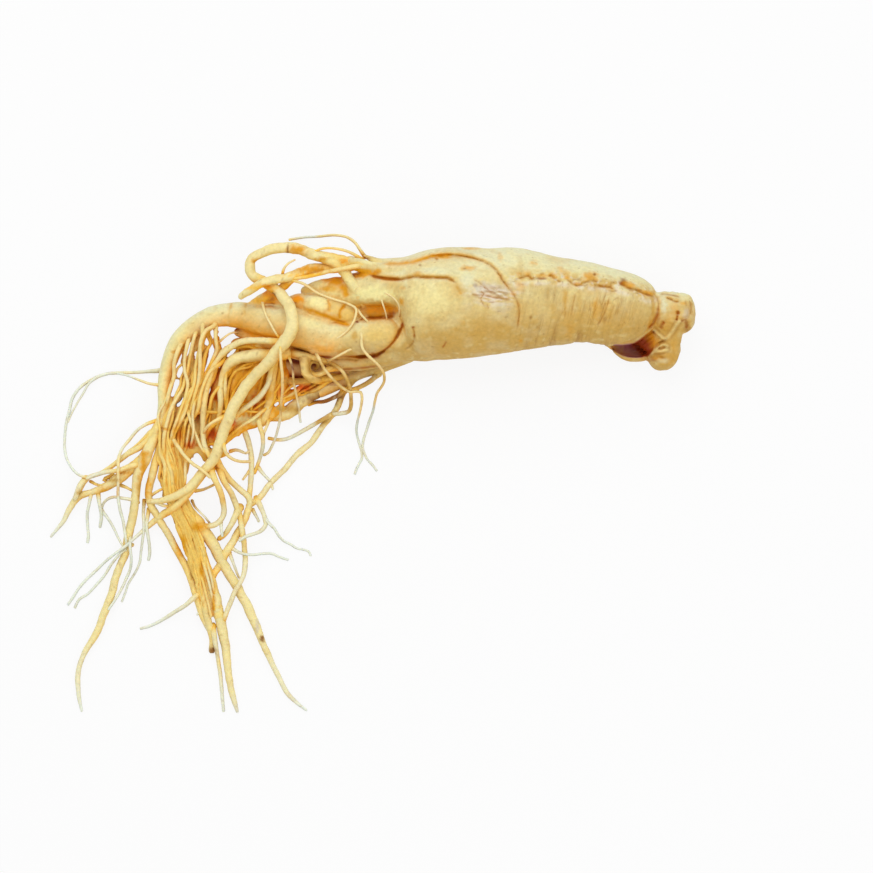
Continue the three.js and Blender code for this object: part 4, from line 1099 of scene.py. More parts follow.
# Thin rootlets, lowest in the heap first: radius at each end, then (x, y) points. Their
# heights follow from what they lie on.
ROOTLETS = [
    (1.2, 1.0, [(-28.5, 41.6), (-24, 40.7), (-20, 39.8), (-16.5, 38.6), (-13, 37.6)]),
    (1.1, 1.0, [(-28.5, 31.6), (-24, 31.6), (-18, 32.4), (-13, 32.6), (-7, 33.6)]),
    (1.5, 1.3, [(-21.8, 40), (-22.3, 37), (-22, 34.5), (-20.4, 32.8), (-17, 31.8)]),
    (1.1, 0.6, [(-11, 36.6), (-14.5, 35.4), (-17, 34), (-19.2, 33.9), (-20.7, 35.2), (-20.7, 37.2),
     (-19.4, 38.2), (-18, 37.6), (-17.8, 36.4), (-18.6, 35.8)]),
    (0.5, 0.45, [(-78, -8.8), (-80, -8), (-83, -7.4), (-86, -7), (-88.3, -7.8), (-89.8, -9.5),
     (-90.3, -12)]),
    (0.45, 0.4, [(-84, -3), (-82, -3.7), (-80.3, -4.6), (-79, -5.5)]),
    (0.4, 0.35, [(-94, -1.8), (-92, -2.8), (-90, -3), (-88.3, -2)]),
    (0.55, 0.5, [(-86.5, 0.2), (-88.3, -0.5), (-89.5, -1.2), (-88.5, -1.8)]),
    (0.9, 0.6, [(-77, 4.2), (-80.5, 3.2), (-84, 2), (-88, 1.5), (-91.5, 0.6), (-95, -0.8)]),
    (0.8, 0.9, [(-95.5, -0.8), (-97.3, -3), (-98.4, -5.5), (-99, -7.5)]),
    (0.55, 0.5, [(-71, 18.8), (-75, 17.4), (-78.5, 15), (-81, 12), (-83.2, 9), (-84.3, 6), (-84.4, 2),
     (-84.4, -3), (-84.5, -7), (-84, -11), (-83, -15), (-82.3, -19), (-81.8, -23)]),
    (0.35, 0.3, [(-72, 16.2), (-75, 13.3), (-78, 10.8), (-81.5, 7.6)]),
    (0.55, 0.45, [(-71, 35.2), (-76, 34.8), (-80, 34.6), (-84, 34.5), (-88, 34.3), (-92, 33), (-95, 31.5),
     (-98, 29), (-100, 26), (-101, 22), (-102, 18), (-102.6, 13), (-102.6, 9), (-101.8, 5.5), (-100, 2.5),
     (-97.5, 0.3), (-94.5, -0.8)]),
    (0.45, 0.35, [(-70, 30.3), (-74, 30.8), (-77, 31.8), (-81, 33.4), (-85, 34.3)]),
    (0.4, 0.3, [(-92, 33), (-94.5, 31), (-96.5, 27.5), (-98.5, 24.2), (-100.3, 20.8), (-101.5, 18)]),
    (0.5, 0.5, [(-93.5, -5), (-94.3, -9), (-95, -13), (-94.9, -17), (-94.7, -20), (-95, -22.2)]),
    (0.6, 0.5, [(-91.5, -5), (-90.8, -9.5), (-90.3, -12.5), (-90.4, -15), (-90.8, -17)]),
    (0.45, 0.35, [(-90.2, -11.5), (-88, -14.3), (-86, -17.8), (-84.5, -21), (-83, -23.5), (-82, -25)]),
    (0.5, 0.35, [(-76, -8), (-76.3, -13), (-76, -17), (-76.5, -21), (-77.1, -25.5), (-77.6, -29),
     (-78.8, -31.8), (-80.3, -34.3), (-81.6, -36.5), (-82.3, -38.8), (-83.5, -42)]),
    (0.55, 0.5, [(-74.4, -11), (-75.2, -16.5), (-74.7, -20), (-74.2, -24), (-74.2, -26.5), (-74.6, -28)]),
    (0.5, 0.45, [(-75.5, -17.5), (-79, -20.5), (-82, -23.3), (-85, -25.5), (-88, -27.8), (-91.5, -31),
     (-95, -34.3), (-98, -37.7), (-100, -40.8), (-101.5, -43)]),
    (0.45, 0.45, [(-80, -23), (-84, -26), (-87, -29.5), (-89.5, -33.5), (-92, -36.3), (-95, -39.5),
     (-97.8, -41.3), (-99.2, -44)]),
    (0.5, 0.4, [(-80.6, -19), (-80.6, -24), (-80.2, -28), (-80.6, -31), (-81.9, -34), (-83.2, -37),
     (-84.8, -40), (-86.3, -42.3), (-87.8, -44.5)]),
    (0.8, 0.45, [(-57, -38.5), (-60, -41.3), (-63, -43.8), (-66, -45.6), (-69, -47.5), (-72, -49.2),
     (-75, -50.5), (-77.2, -51)]),
    (0.85, 0.5, [(-53, -50), (-52.3, -54.5), (-51.8, -58), (-51.2, -62), (-50.6, -66), (-50.2, -70),
     (-49.9, -75), (-49.5, -78.6)]),
    (0.35, 0.3, [(-56.5, -44), (-57.4, -45.4), (-58.2, -46.3)]),
    (0.8, 0.7, [(2.5, 34.3), (0, 32), (-3, 30.2), (-6, 28.9), (-9, 29.2), (-12, 30.5)]),
    (0.7, 0.6, [(-9, 29), (-11, 27), (-13.5, 25.7), (-16, 24.9), (-18.5, 24.7), (-21, 23.8)]),
    (0.7, 0.6, [(-12.5, 20.8), (-16, 19), (-19, 17.3), (-22.5, 15.3), (-26, 13.4), (-29, 12.2),
     (-32, 12.1), (-34.4, 12.6)]),
    (0.55, 0.5, [(-49.2, 12.5), (-48.9, 9.5), (-48, 7.2), (-46, 5.6), (-43.5, 4.9), (-40.5, 4.8)]),
    (0.45, 0.4, [(-47.3, 8.2), (-45.5, 8.7), (-43.5, 8.2), (-42, 7.6), (-41, 8.2)]),
    (0.75, 0.6, [(-37.8, 20), (-37.3, 17), (-36.4, 13.8), (-36.2, 11), (-36.6, 8.5), (-37.4, 5.8),
     (-38.2, 3.5), (-39.2, 1)]),
    (0.5, 0.4, [(-34, 20), (-34.8, 17), (-35.8, 14), (-36.2, 12)]),
    (0.5, 0.45, [(-37.9, 3), (-36.6, 1.2), (-35.3, -0.3), (-34.2, -1.4)]),
    (0.4, 0.35, [(-34, -1.8), (-33.3, -3.2), (-33, -4.4)]),
    (0.4, 0.35, [(-40.3, 2.5), (-41.7, 0.6), (-43, -1.2)]),
    (0.5, 0.45, [(-61.5, 6.5), (-62, 3), (-62, -0.5), (-62.4, -4)]),
    (1, 0.9, [(-53.5, 2.5), (-52, -1.2), (-50.6, -4.5), (-49.6, -8), (-49.2, -11.5), (-50, -14.3),
     (-52, -16), (-54.5, -16.6), (-57.5, -16)]),
    (1, 0.8, [(-51, 3), (-49, -2), (-47, -5.5), (-45.4, -9), (-44.3, -12.5), (-43.5, -16), (-42.9, -20),
     (-42.4, -24), (-42.1, -28), (-42.5, -32), (-43.8, -35.5), (-45.5, -38.5), (-47, -42), (-48.5, -45.5),
     (-49.3, -48)]),
    (0.8, 0.6, [(-38.5, -7.5), (-37, -10.5), (-35.8, -13.5), (-35.4, -16.3), (-37, -18.3), (-39.5, -19.4),
     (-42, -20.2), (-44, -21.5)]),
    (0.5, 0.35, [(-36.2, -12.5), (-34.5, -15.5), (-32.5, -17.5), (-31, -20), (-29.3, -21.7), (-27, -22.9),
     (-25, -24.2), (-22.5, -24.7), (-21, -25.3), (-20.4, -26.6)]),
    (0.5, 0.4, [(-47.5, -23.5), (-45.5, -24.8), (-43, -26), (-40, -26.3), (-36.5, -26), (-33.5, -26),
     (-31, -27), (-28, -28)]),
    (0.5, 0.4, [(-47.5, -25.5), (-46.4, -28.5), (-45.3, -31.5), (-44.3, -34)]),
    (0.45, 0.4, [(-39.8, -11.2), (-38.7, -13.2), (-37.7, -15.2)]),
    (1, 0.8, [(-44, -10.5), (-45.5, -13.5), (-47, -16.5), (-49, -19.5), (-51, -21)]),
    (0.5, 0.4, [(-50.3, -14.5), (-50.2, -17.5), (-49.8, -20)]),
    (0.35, 0.35, [(-60, -8.2), (-59.2, -10), (-57.3, -12), (-55.5, -13.8), (-54, -15.8)]),
    (0.45, 0.4, [(-59, -5), (-56.5, -4.6), (-54.5, -3.8), (-52.5, -2.8)]),
    (0.45, 0.4, [(-74.5, -7.3), (-72.3, -5.6), (-70.3, -4.5), (-68, -3.7)]),
    (0.5, 0.5, [(-74, -7.8), (-71.5, -9), (-69.5, -9.8), (-67.5, -10), (-66, -9)]),
    (0.65, 0.55, [(-56, 52.4), (-56.1, 48), (-56.5, 44), (-57.6, 40.4), (-58.4, 36.5), (-58.8, 32),
     (-60, 27.5), (-61.9, 23), (-64, 18.6), (-66.5, 13.5), (-67.4, 8)]),
    (0.7, 0.55, [(-51.2, 52), (-52.5, 49.8), (-54.9, 48.4), (-56.6, 45), (-56.9, 41), (-57, 36),
     (-57.6, 31.5), (-58.8, 27), (-60.2, 21.5), (-62.6, 16), (-63.4, 10), (-64, 5)]),
    (0.6, 0.5, [(-51.6, 51), (-51.7, 46), (-51.4, 42), (-53, 38.4), (-55, 34.5), (-56.8, 30),
     (-58.2, 25.5), (-59.3, 20), (-59.8, 16)]),
    (0.6, 0.65, [(-58, 49.4), (-59.2, 45), (-60, 41.5), (-60.8, 37.5), (-61.8, 33.5), (-62.8, 29.5),
     (-64.4, 26.8), (-66.4, 23), (-68, 18), (-69.2, 12), (-69, 5)]),
    (0.6, 0.55, [(-60.4, 47), (-61.4, 42.6), (-62.2, 38.6), (-62.1, 35), (-61.2, 31), (-61.6, 27.6),
     (-63.4, 22.4), (-65.8, 15.8), (-67.4, 10)]),
    (0.7, 0.6, [(-62.6, 45.4), (-64.4, 41.6), (-65.6, 37.6), (-65.8, 33), (-67, 29.6), (-67.8, 25.6),
     (-68.4, 21)]),
    (0.5, 0.45, [(-60.6, 26), (-62, 21.5), (-63.8, 17.6), (-65.6, 13.8), (-66.6, 9)]),
    (0.55, 0.5, [(-61.6, 23), (-60, 17.6), (-58.2, 13), (-56.6, 9.4), (-54.6, 6.2)]),
    (0.4, 0.35, [(-61.4, 20.4), (-62.4, 14.4), (-62.9, 9)]),
    (0.35, 0.35, [(-60.4, 18), (-61.3, 12.6), (-61.9, 8.6)]),
    (0.45, 0.4, [(-58.4, 27), (-59.5, 20.6), (-59.2, 15), (-60.4, 9.4)]),
    (0.6, 0.5, [(-48.6, 20), (-51.8, 18.4), (-54.4, 16.6), (-56.2, 14)]),
    (0.35, 0.3, [(-51, 44.4), (-48.8, 46.2), (-46.6, 47.6), (-43.8, 48)]),
    (0.6, 0.55, [(-66.8, 14), (-65.3, 11), (-63.8, 9), (-62.3, 6.9), (-60.5, 5), (-58.9, 3.7),
     (-57.2, 2.7), (-55.4, 1.2), (-53.8, -0.3)]),
    (0.42, 0.4, [(-28.5, 43), (-27.5, 40), (-26.3, 36.5), (-26, 33), (-25.5, 29.5), (-24.8, 26),
     (-24.2, 22.5), (-23.9, 19.5), (-23.7, 18)]),
    (0.5, 0.45, [(-30, 46), (-30, 42), (-29.8, 38), (-29.4, 33), (-29.5, 28), (-30, 24), (-30.3, 20),
     (-31, 16.5), (-32, 13), (-33.3, 10), (-34.8, 7.6), (-36, 7)]),
    (0.4, 0.35, [(-5, 43.2), (-8, 41.5), (-11, 39.9), (-14.5, 38.1)]),
    (0.5, 0.75, [(-14.5, 38.3), (-12.5, 37.3), (-10.6, 36), (-9, 34), (-7.8, 31.5), (-7, 29), (-6.8, 26),
     (-6.9, 23.3), (-7.6, 21.6), (-9.5, 21.1), (-12.5, 20.8)]),
    (0.5, 0.4, [(-18.5, 41.5), (-17, 38.5), (-15.5, 35.6), (-13.3, 32.8), (-11, 30.5), (-9, 29), (-7, 28),
     (-5, 28.2), (-3.5, 27.9), (-3.1, 26.4), (-3.3, 24), (-3.8, 21.5), (-4.6, 18.5), (-5, 15.8),
     (-4.7, 13), (-4, 10.5), (-3.3, 8), (-3.2, 6), (-4.2, 4), (-5.1, 2.2), (-5.6, 0.7)]),
    (0.5, 0.42, [(-3.5, 50), (-3.1, 46), (-2.8, 42.5), (-1, 40), (1, 38.2), (3, 36.2), (4.3, 33.8),
     (4.3, 31.5), (3.4, 29.8), (2, 27.8), (1.2, 25), (0.6, 22.2), (-0.7, 18.5), (-1.8, 15), (-2.8, 11.8),
     (-3, 9.3), (-2.2, 7), (-1.2, 5.2), (0, 4), (1.7, 1.8)]),
    (0.5, 0.4, [(-57.6, -25), (-55.8, -30), (-54.2, -35.6), (-53, -41), (-52, -46)]),
    (0.45, 0.4, [(-56, -24), (-54.6, -29.6), (-53.2, -35.2), (-52, -41.6)]),
    (0.5, 0.45, [(-58.6, -29), (-56.4, -35), (-54.8, -41), (-53.6, -47)]),
    (0.5, 0.4, [(-2, 72.8), (-3.5, 75), (-5.5, 77.8), (-8, 79.4), (-12, 80.2), (-17, 79.9), (-22, 79.8),
     (-27.5, 79)]),
    (0.5, 0.35, [(-3, 72), (-6, 73.8), (-9, 75), (-13, 75.7), (-17, 75.3), (-21, 73)]),
    (0.4, 0.3, [(-29.5, 66.5), (-29, 68.5), (-27.8, 70.3), (-25.3, 71.8)]),
    (0.8, 0.6, [(-2, 70), (-8, 69), (-15, 67.6), (-22, 66.1), (-28, 65.4)]),
    (0.45, 0.4, [(-28, 65.5), (-22, 63.6), (-18, 61), (-12, 58.6), (-7.5, 57.2), (-5, 55.5), (-5.3, 52.5),
     (-6.8, 49.6), (-9.8, 46.6), (-14, 44.4)]),
    (0.4, 0.35, [(-36.3, 58.5), (-35.3, 54.5), (-33.3, 50.5), (-31.3, 47), (-29.6, 44.8)]),
    (0.27, 0.25, [(2.8, 60.5), (3.8, 57.5), (4.9, 54), (5.3, 51.2)]),
    (0.32, 0.28, [(2, 60.6), (4.8, 60.7), (7.8, 58.8), (9.4, 56.2), (9.3, 53)]),
    (0.36, 0.33, [(-5, 56), (-3.3, 53.7), (-1.6, 51.8), (0, 50)]),
]

# Thin roots under the thick ones that cross the heap, written in the same way
BED_STRANDS = [
    (0.6, 0.5, [(-34, 40.4), (-38, 38.4), (-42.5, 36.8), (-46, 34), (-47.8, 29), (-48.2, 23),
     (-49.4, 16)]),
    (0.5, 0.45, [(-36, 37), (-40, 34.6), (-43.6, 31.4), (-46.2, 27), (-47.6, 22), (-49, 17)]),
    (0.45, 0.4, [(-30.6, 38), (-33, 33), (-36.4, 28.6), (-40.4, 24.6), (-44, 21.6)]),
    (0.5, 0.45, [(-29, 34), (-31, 29.6), (-34.4, 25.8), (-38.4, 22.8), (-42, 20.6)]),
    (0.4, 0.4, [(-37.6, 38.6), (-40.6, 36.4), (-44, 35.6), (-47.6, 33.6)]),
    (0.5, 0.4, [(-41, 33.4), (-43.6, 29.4), (-45.2, 25), (-46, 19.6)]),
]


class Heap:
    """The height of what already lies at each place, on a plan grid."""

    CELL = 0.5                           # mm
    LOW = np.array([-112.0, -84.0])      # the grid's corner
    CELLS = (450, 340)                   # along X and Y

    def __init__(self):
        """Nothing lies there yet."""
        self.height = np.zeros(self.CELLS)

    def spots(self, points):
        """The cell of the grid that each point is over."""
        cells = np.round((points[:, :2] - self.LOW) / self.CELL).astype(int)
        return np.clip(cells, 0, np.array(self.CELLS) - 1)

    def add_points(self, points):
        """Raises the heap to the points of a mesh."""
        np.maximum.at(self.height, tuple(self.spots(points).T), points[:, 2])

    def add_rows(self, rows):
        """Raises the heap to the top of a root, at nine places across each of its rows."""
        for shift in itertools.product((-0.5, 0, 0.5), repeat=2):
            off = np.array(shift) * rows[:, 3:4]
            up = np.sqrt(rows[:, 3] ** 2 - (off ** 2).sum(axis=1))
            self.add_points(np.column_stack([rows[:, :2] + off, rows[:, 2] + up]))

    def under(self, points):
        """The height of the heap under each point."""
        return self.height[tuple(self.spots(points).T)]


def drape(heap, flat, start_height=None, sink=0.9):
    """Rows of a thin root that lies over the heap like a springy thread."""
    length = along_route(flat)
    radius = flat[:, 3]
    support = heap.under(flat) + sink * radius
    if start_height is not None:
        inside = np.exp(-length / 3)
        support = support * (1 - inside) + start_height * inside
    sag = SAG * (length[:, None] - length[None, :]) ** 2
    height = evened((support[None, :] - sag).max(axis=1), 4)
    height = np.maximum(height, evened(height, 24))
    dip = np.minimum(1.5 * radius + 3, np.maximum(height - radius, 0))
    if start_height is None:
        height -= np.exp(-length / 2) * dip
    covered = ramp(heap.under(flat[-1:])[0], 3, 2)
    height -= np.exp((length - length[-1]) / 2) * dip * covered
    return np.column_stack([flat[:, :2], np.maximum(height, radius), radius])


def point_on(line, share):
    """The point a share of the way along a list of points."""
    line = np.array(line, float)
    place = share * (len(line) - 1)
    i = min(int(place), len(line) - 2)
    return line[i] + (place - i) * (line[i + 1] - line[i])


def clear_of_gaps(rows):
    """Rows moved sideways in plan so that they leave the gaps in the heap open."""
    for _ in range(2):
        for x0, y0, reach0, x1, y1, reach1 in GAPS:
            run = np.array([x1 - x0, y1 - y0])
            t = np.clip((rows[:, :2] - (x0, y0)) @ run / (run @ run), 0, 1)
            off = rows[:, :2] - (x0, y0) - t[:, None] * run
            far = np.hypot(*off.T)
            need = np.maximum(reach0 + t * (reach1 - reach0) + rows[:, 3] - far, 0)
            rows[:, :2] += off / np.maximum(far, 0.05)[:, None] * need[:, None]
        rows[:, :2] = evened(rows[:, :2], 1)
    return rows


def heap_rise(points):
    """How much higher the heap lies than its fans say, in mm, under the roots that cross it."""
    return RISE * oval_bell(points, *RISE_SPOT)


def fan_root(random, fan, radius):
    """One root of a fan: a curve from the line it leaves to the line where the fan meets."""
    _, _, _, leave, meet, start_way, end_way = fan
    share = random.uniform(0, 1)
    start = point_on(leave, share)
    end = point_on(meet, np.clip(share + random.normal(0, 0.25), 0, 1))
    reach = np.hypot(*(end - start)[:2])
    start_way = np.array(start_way) + random.normal(0, 0.4, 2)
    end_way = np.array(end_way) + random.normal(0, 0.3, 2)
    start_way, end_way = (way / np.hypot(*way) for way in (start_way, end_way))
    one, two = start.copy(), end.copy()
    one[:2] += 0.36 * reach * start_way
    two[:2] -= 0.36 * reach * end_way
    one[2] = start[2] * 0.45 + end[2] * 0.55
    t = np.linspace(0, 1, max(4, round(reach / 4)))[:, None]
    curve = ((1 - t) ** 3 * start + 3 * t * (1 - t) ** 2 * one + 3 * t * t * (1 - t) * two
             + t ** 3 * end)
    curve[1:-1, :2] += random.normal(0, 0.6, (len(t) - 2, 2))
    widths = radius * (1 + random.normal(0, 0.08, len(t)))
    widths *= np.interp(t[:, 0], [0, 0.15, 0.8, 1], [0.5, 1, 1, 0.5])
    curve[:, 2] += heap_rise(curve) + random.uniform(0, 1.4)
    return clear_of_gaps(smooth_route(np.column_stack([curve, widths]).tolist(), 0.9))


def heap_bed():
    """Rows of the wide roots that close the bottom of the heap under its first four fans."""
    for fan in FANS[:4]:
        for share in np.linspace(0.02, 0.98, 9):
            ends = np.array([point_on(line, share) for line in fan[3:5]])
            if fan is FANS[0]:
                ends[0] += BED_START * (ends[1] - ends[0])
            knots = (ends[0], ends.mean(axis=0), ends[1])
            rows = smooth_route([(x, y, BED_HEIGHT, BED_RADIUS) for x, y, _ in knots], 0.8)
            rows[:, 2] += heap_rise(rows)
            yield rows


def cut_gaps(field):
    """Takes the slots of GAPS out of the field, through and through, with ragged edges."""
    plan = np.array(list(itertools.product(field.axes[0], field.axes[1], [0])))
    ragged = 0.25 * noise(plan, 1.2, 64)
    for x0, y0, reach0, x1, y1, reach1 in GAPS:
        far, along, _ = plan_distance(plan, [(x0, y0), (x1, y1)])
        hole = reach0 + along * (reach1 - reach0) + 0.1 - far - ragged
        hole = hole.reshape(field.values.shape[:2])
        field.values = np.maximum(field.values, hole[:, :, None])


def make_heap():
    """The bottom of the heap: broad roots melted together, and the trunk of the bundle."""
    random = np.random.default_rng(41)
    field = FleshField(*HEAP_BOX)
    for rows in heap_bed():
        field.add_tube(rows, 1)
    for fan in FANS:
        for _ in range(fan[0]):
            rows = fan_root(random, fan, random.uniform(*fan[2]))
            rows[:, 2] = np.maximum(rows[:, 2], rows[:, 3])
            field.add_tube(rows, 0.6)
    cut_gaps(field)
    for number, route in enumerate(BUNDLE):
        add_root(field, route, 0.4, 0.05, 2, 61 + number)
    field.shape_skin(lambda points: 0.12 * noise(points, 1.6, 65) + 0.08 * noise(points, 0.9, 66))
    points, faces = field.mesh()
    normals = point_normals(points, faces)
    tint = heap_tint(points, normals, sunken(field, points, normals, 1.5))
    points[:, 2] = np.maximum(points[:, 2], 0)
    return build_mesh("root_heap", points, faces, tint), points


def tapered(start_radius, end_radius, path):
    """Rows of a thin root, not yet at any height, with a wider foot where it grows."""
    flat = smooth_route([(x, y, 0, 1) for x, y in path], 0.8)
    length = along_route(flat)
    flat[:, 3] = start_radius + (end_radius - start_radius) * length / length[-1]
    flat[:, 3] *= 1 + 0.5 * np.exp(-length / 2.5)
    return flat


def fine_roots(heap):
    """Thin roots on the heap: along its fans, under the thick roots and down its trunk."""
    random = np.random.default_rng(43)
    fine = []
    deepest = heap.height + 1.5          # later roots sink this far into the earlier ones
    for fan in FANS:
        for _ in range(fan[1]):
            flat = fan_root(random, fan, random.uniform(*THIN_RADII))
            fine.append(drape(heap, flat, flat[0, 2], 0.6))
            heap.add_rows(fine[-1])
            heap.height = np.minimum(heap.height, deepest)
    for strand in BED_STRANDS:
        fine.append(drape(heap, tapered(*strand)))
        heap.add_rows(fine[-1])
    return fine + bundle_fibres(random, heap)


def bundle_fibres(random, heap):
    """Thin roots that lie down the trunk of the bundle, wandering a little to its sides."""
    spine = smooth_route(BUNDLE[0], 0.8)
    forward = np.gradient(spine[:, :2], axis=0)
    forward /= np.hypot(*forward.T)[:, None]
    across = np.column_stack([forward[:, 1], -forward[:, 0]])
    fibres = []
    for number in range(BUNDLE_FIBRES):
        count = int(random.uniform(0.3, 0.8) * len(spine))
        first = int(random.uniform(0, len(spine) - count))
        part = slice(first, first + count)
        way = np.linspace(0, 1, count)
        side = random.uniform(-1.2, 1.2) + random.normal(0, 0.5) * way
        side = side + 0.25 * noise(np.column_stack([way * 9, way * 0 + number, way * 0]), 1, 68)
        flat = spine[part].copy()
        flat[:, :2] += (np.clip(side, -1.35, 1.5) * spine[part, 3])[:, None] * across[part]
        flat[:, 3] = random.uniform(*THIN_RADII)
        fibres.append(drape(heap, flat, 3, -0.1))
    return fibres


def crowding(strands):
    """How buried each row of each strand is, from 0 in the open to 1 deep in the heap."""
    rows = np.vstack(strands)
    owner = np.repeat(np.arange(len(strands)), [len(s) for s in strands])
    top = rows[:, 2] + rows[:, 3]
    amounts = np.zeros(len(rows))
    for first in range(0, len(rows), 1000):
        some = slice(first, first + 1000)
        gap = rows[some, None, :2] - rows[None, :, :2]
        weight = np.exp(-(gap ** 2).sum(axis=2) / 8) * rows[None, :, 3]
        above = 1 / (1 + np.exp(np.clip(-(top[None, :] - top[some, None] - 0.3) / 0.5, -30, 30)))
        other = owner[some, None] != owner[None, :]
        amounts[some] = (weight * (0.02 + above) * other).sum(axis=1)
    amounts = 1 - np.exp(-amounts / 8)
    return np.split(amounts, np.cumsum([len(s) for s in strands])[:-1])


def strand_tint(points, normals, radius, crowd):
    """A root's colour: painted highlight on its lit side, painted shade on the far side, golden painted
    shading where it is crowded, brown specks, and the table's stains and shading.
    """
    x, y, _ = points.T
    beside = np.abs(x + 67.3 + 0.33 * y)      # from the trunk's outer edge
    loose = ramp(y, 0, -10) * ramp(radius, 0.8, -0.2)
    loose = loose * ramp(beside, 3.5, 1.5)
    crowd = crowd * (1 - 0.7 * loose)
    young = np.clip(1.25 * (1.15 - radius), 0, 0.85) * np.clip(1.1 - (1 + 2.5 * radius) * crowd, 0, 1)
    trunk = ramp(y, 8, -8)
    column = ramp(x, -54, -4)
    shaded = np.clip(0.45 - normals @ (LIT_SIDE + (0, 0, 0.6)), 0, 1)
    edge = mix(mix(STRAW, FRINGE, young / 0.7), HONEY, np.clip(2.4 * crowd - 0.1, 0, 1))
    return stained(points, layered(
        mix(ROOT_YELLOW, ROOT_PALE, 0.15 + young),
        # Golden and orange painted shading where the root is crowded by others
        (YOLK, np.clip(1.7 * crowd - 0.2, 0, 0.8)),
        (SAFFRON, np.clip(1.8 * crowd - 0.35, 0, 0.93) * (1 - 0.4 * column)),
        (TAWNY, 0.15 * trunk * np.clip(crowd - 0.1, 0, 1)),
        (OCHRE, 0.3 * patches(points, 3.5, 51, 1, -0.1)),
        # Painted shade on the side away from the light
        (edge, 0.8 * shaded),
        (BARK, 0.35 * patches(points, 0.8, 53, 6, -4))))


def heap_tint(points, normals, near):
    """The heap's colour: amber, lighter where it faces up as painted light, with painted shade in deep
    orange in its crevices and under the roots that cross it, golden on the trunk.
    """
    x, y, _ = points.T
    trunk = ramp(y, 10, -8)
    column = ramp(x, -51, -5) * (1 - trunk)
    top = np.clip(normals[:, 2] * 1.6 - 0.6, 0, 1)
    soft = patches(points, 4, 67, 0.9, 0.5)
    fibres = noise(points * (1, 0.3, 1), 0.9, 69)
    return stained(points, layered(
        # Lighter where the surface faces up: painted light
        mix(HONEY, SAFFRON, np.clip((0.3 + 0.6 * soft) * top + 0.5 * trunk, 0, 1)),
        (YOLK, 0.6 * column),
        (YOLK, 0.3 * trunk),
        (ROOT_YELLOW, np.minimum(ramp(y, -30, -12), 0.8)),
        (YOLK, np.clip(0.8 * fibres * top, 0, 0.6)),
        (AMBER, np.clip(-0.9 * fibres, 0, 0.5) * (1 - column)),
        # Deep orange painted shade in the crevices
        (DEEP_SHADE_ORANGE, np.clip(1.6 * near - 0.6, 0, 0.8) * (1 - 0.7 * trunk))))


def stained(points, tint):
    """The tint with golden places and deep orange painted shade low in the heap, and the stains and
    painted shading on the thick roots.
    """
    frayed = 0.5 * noise(points, 0.8, 52)
    low = [(*row, TAWNY, 12) for row in GILDED] + [(*row, DEEP_SHADE_ORANGE, 9) for row in DEEP_SHADE_SPOTS]
    for middle, reach, colour, top in low:
        off = np.hypot(*off_middle(points, middle, reach)) + frayed
        tint = mix(tint, colour, np.clip(1.6 - off, 0, 0.96) * ramp(points[:, 2], top, -2))
    for middle, reach, colour in STAINS_AND_PAINTED_SHADING:
        off = np.hypot(*off_middle(points, middle, reach)) + frayed
        tint = mix(tint, colour, np.clip(1.4 - off, 0, 0.95))
    return tint


def sweep(rows, sides, seed, crowd):
    """Points, faces and colours of one tapering root, closed and rounded at both ends."""
    rows = ringed(rows, 0.05, 1.1, seed)
    spots = rows[:, :3].copy()
    wander = np.column_stack([noise(spots, 4, seed + k) for k in range(3)])
    rows[1:-1, :3] += 0.16 * rows[1:-1, 3:4] * wander[1:-1] * (1, 1, 0.3)
    forward = unit(np.gradient(rows[:, :3], axis=0))
    across = unit(np.column_stack([forward[:, 1], -forward[:, 0], np.zeros(len(rows))]))
    upward = np.cross(across, forward)
    rings = np.clip(np.arange(-1, len(rows) + 1), 0, len(rows) - 1)
    shift, scale = np.zeros(len(rings)), np.ones(len(rings))
    shift[[0, -1]], scale[[0, -1]] = CAP_SHIFTS, CAP_SCALES
    centres = rows[rings, :3] + forward[rings] * (shift * rows[rings, 3])[:, None]
    angles = np.arange(sides) * 2 * np.pi / sides
    outward = (np.cos(angles)[None, :, None] * across[rings, None]
               + np.sin(angles)[None, :, None] * upward[rings, None])
    reach = (rows[rings, 3] * scale)[:, None, None]
    points = (centres[:, None] + reach * outward).reshape(-1, 3)
    tints = strand_tint(points, outward.reshape(-1, 3), rows[rings, 3].repeat(sides),
                        crowd[rings].repeat(sides))
    bumps = 0.06 * noise(points, 0.9, seed + 5) + 0.06 * noise(points, 2.2, seed + 6)
    middle = centres.repeat(sides, axis=0)
    points = middle + (points - middle) * (1 + bumps[:, None])
    points[:, 2] = np.maximum(points[:, 2], 0.02)
    return points, tube_faces(len(rings), sides), tints


def tube_faces(rings, sides):
    """Four-sided faces between the rings of a tube and over its two ends."""
    start = np.arange(rings - 1)[:, None] * sides
    step = np.arange(sides)[None, :]
    nearby = (step + 1) % sides
    faces = np.stack([start + step, start + sides + step, start + sides + nearby, start + nearby],
                     axis=2).reshape(-1, 4)
    ends = []
    for first, turned in ((0, False), ((rings - 1) * sides, True)):
        for k in range(1, sides // 2):
            quad = [first + k - 1, first + k, first + sides - k - 1, first + sides - k]
            ends.append(quad[::-1] if turned else quad)
    return np.vstack([faces, ends])


def join_strands(name, strands, sides, crowds):
    """One mesh of many roots that have the same number of sides."""
    points, faces, tints = [], [], []
    for number, rows in enumerate(strands):
        p, f, t = sweep(rows, sides, number + 31, next(crowds))
        faces.append(f + sum(len(q) for q in points))
        points.append(p)
        tints.append(t)
    return build_mesh(name, np.vstack(points), np.vstack(faces), np.vstack(tints))


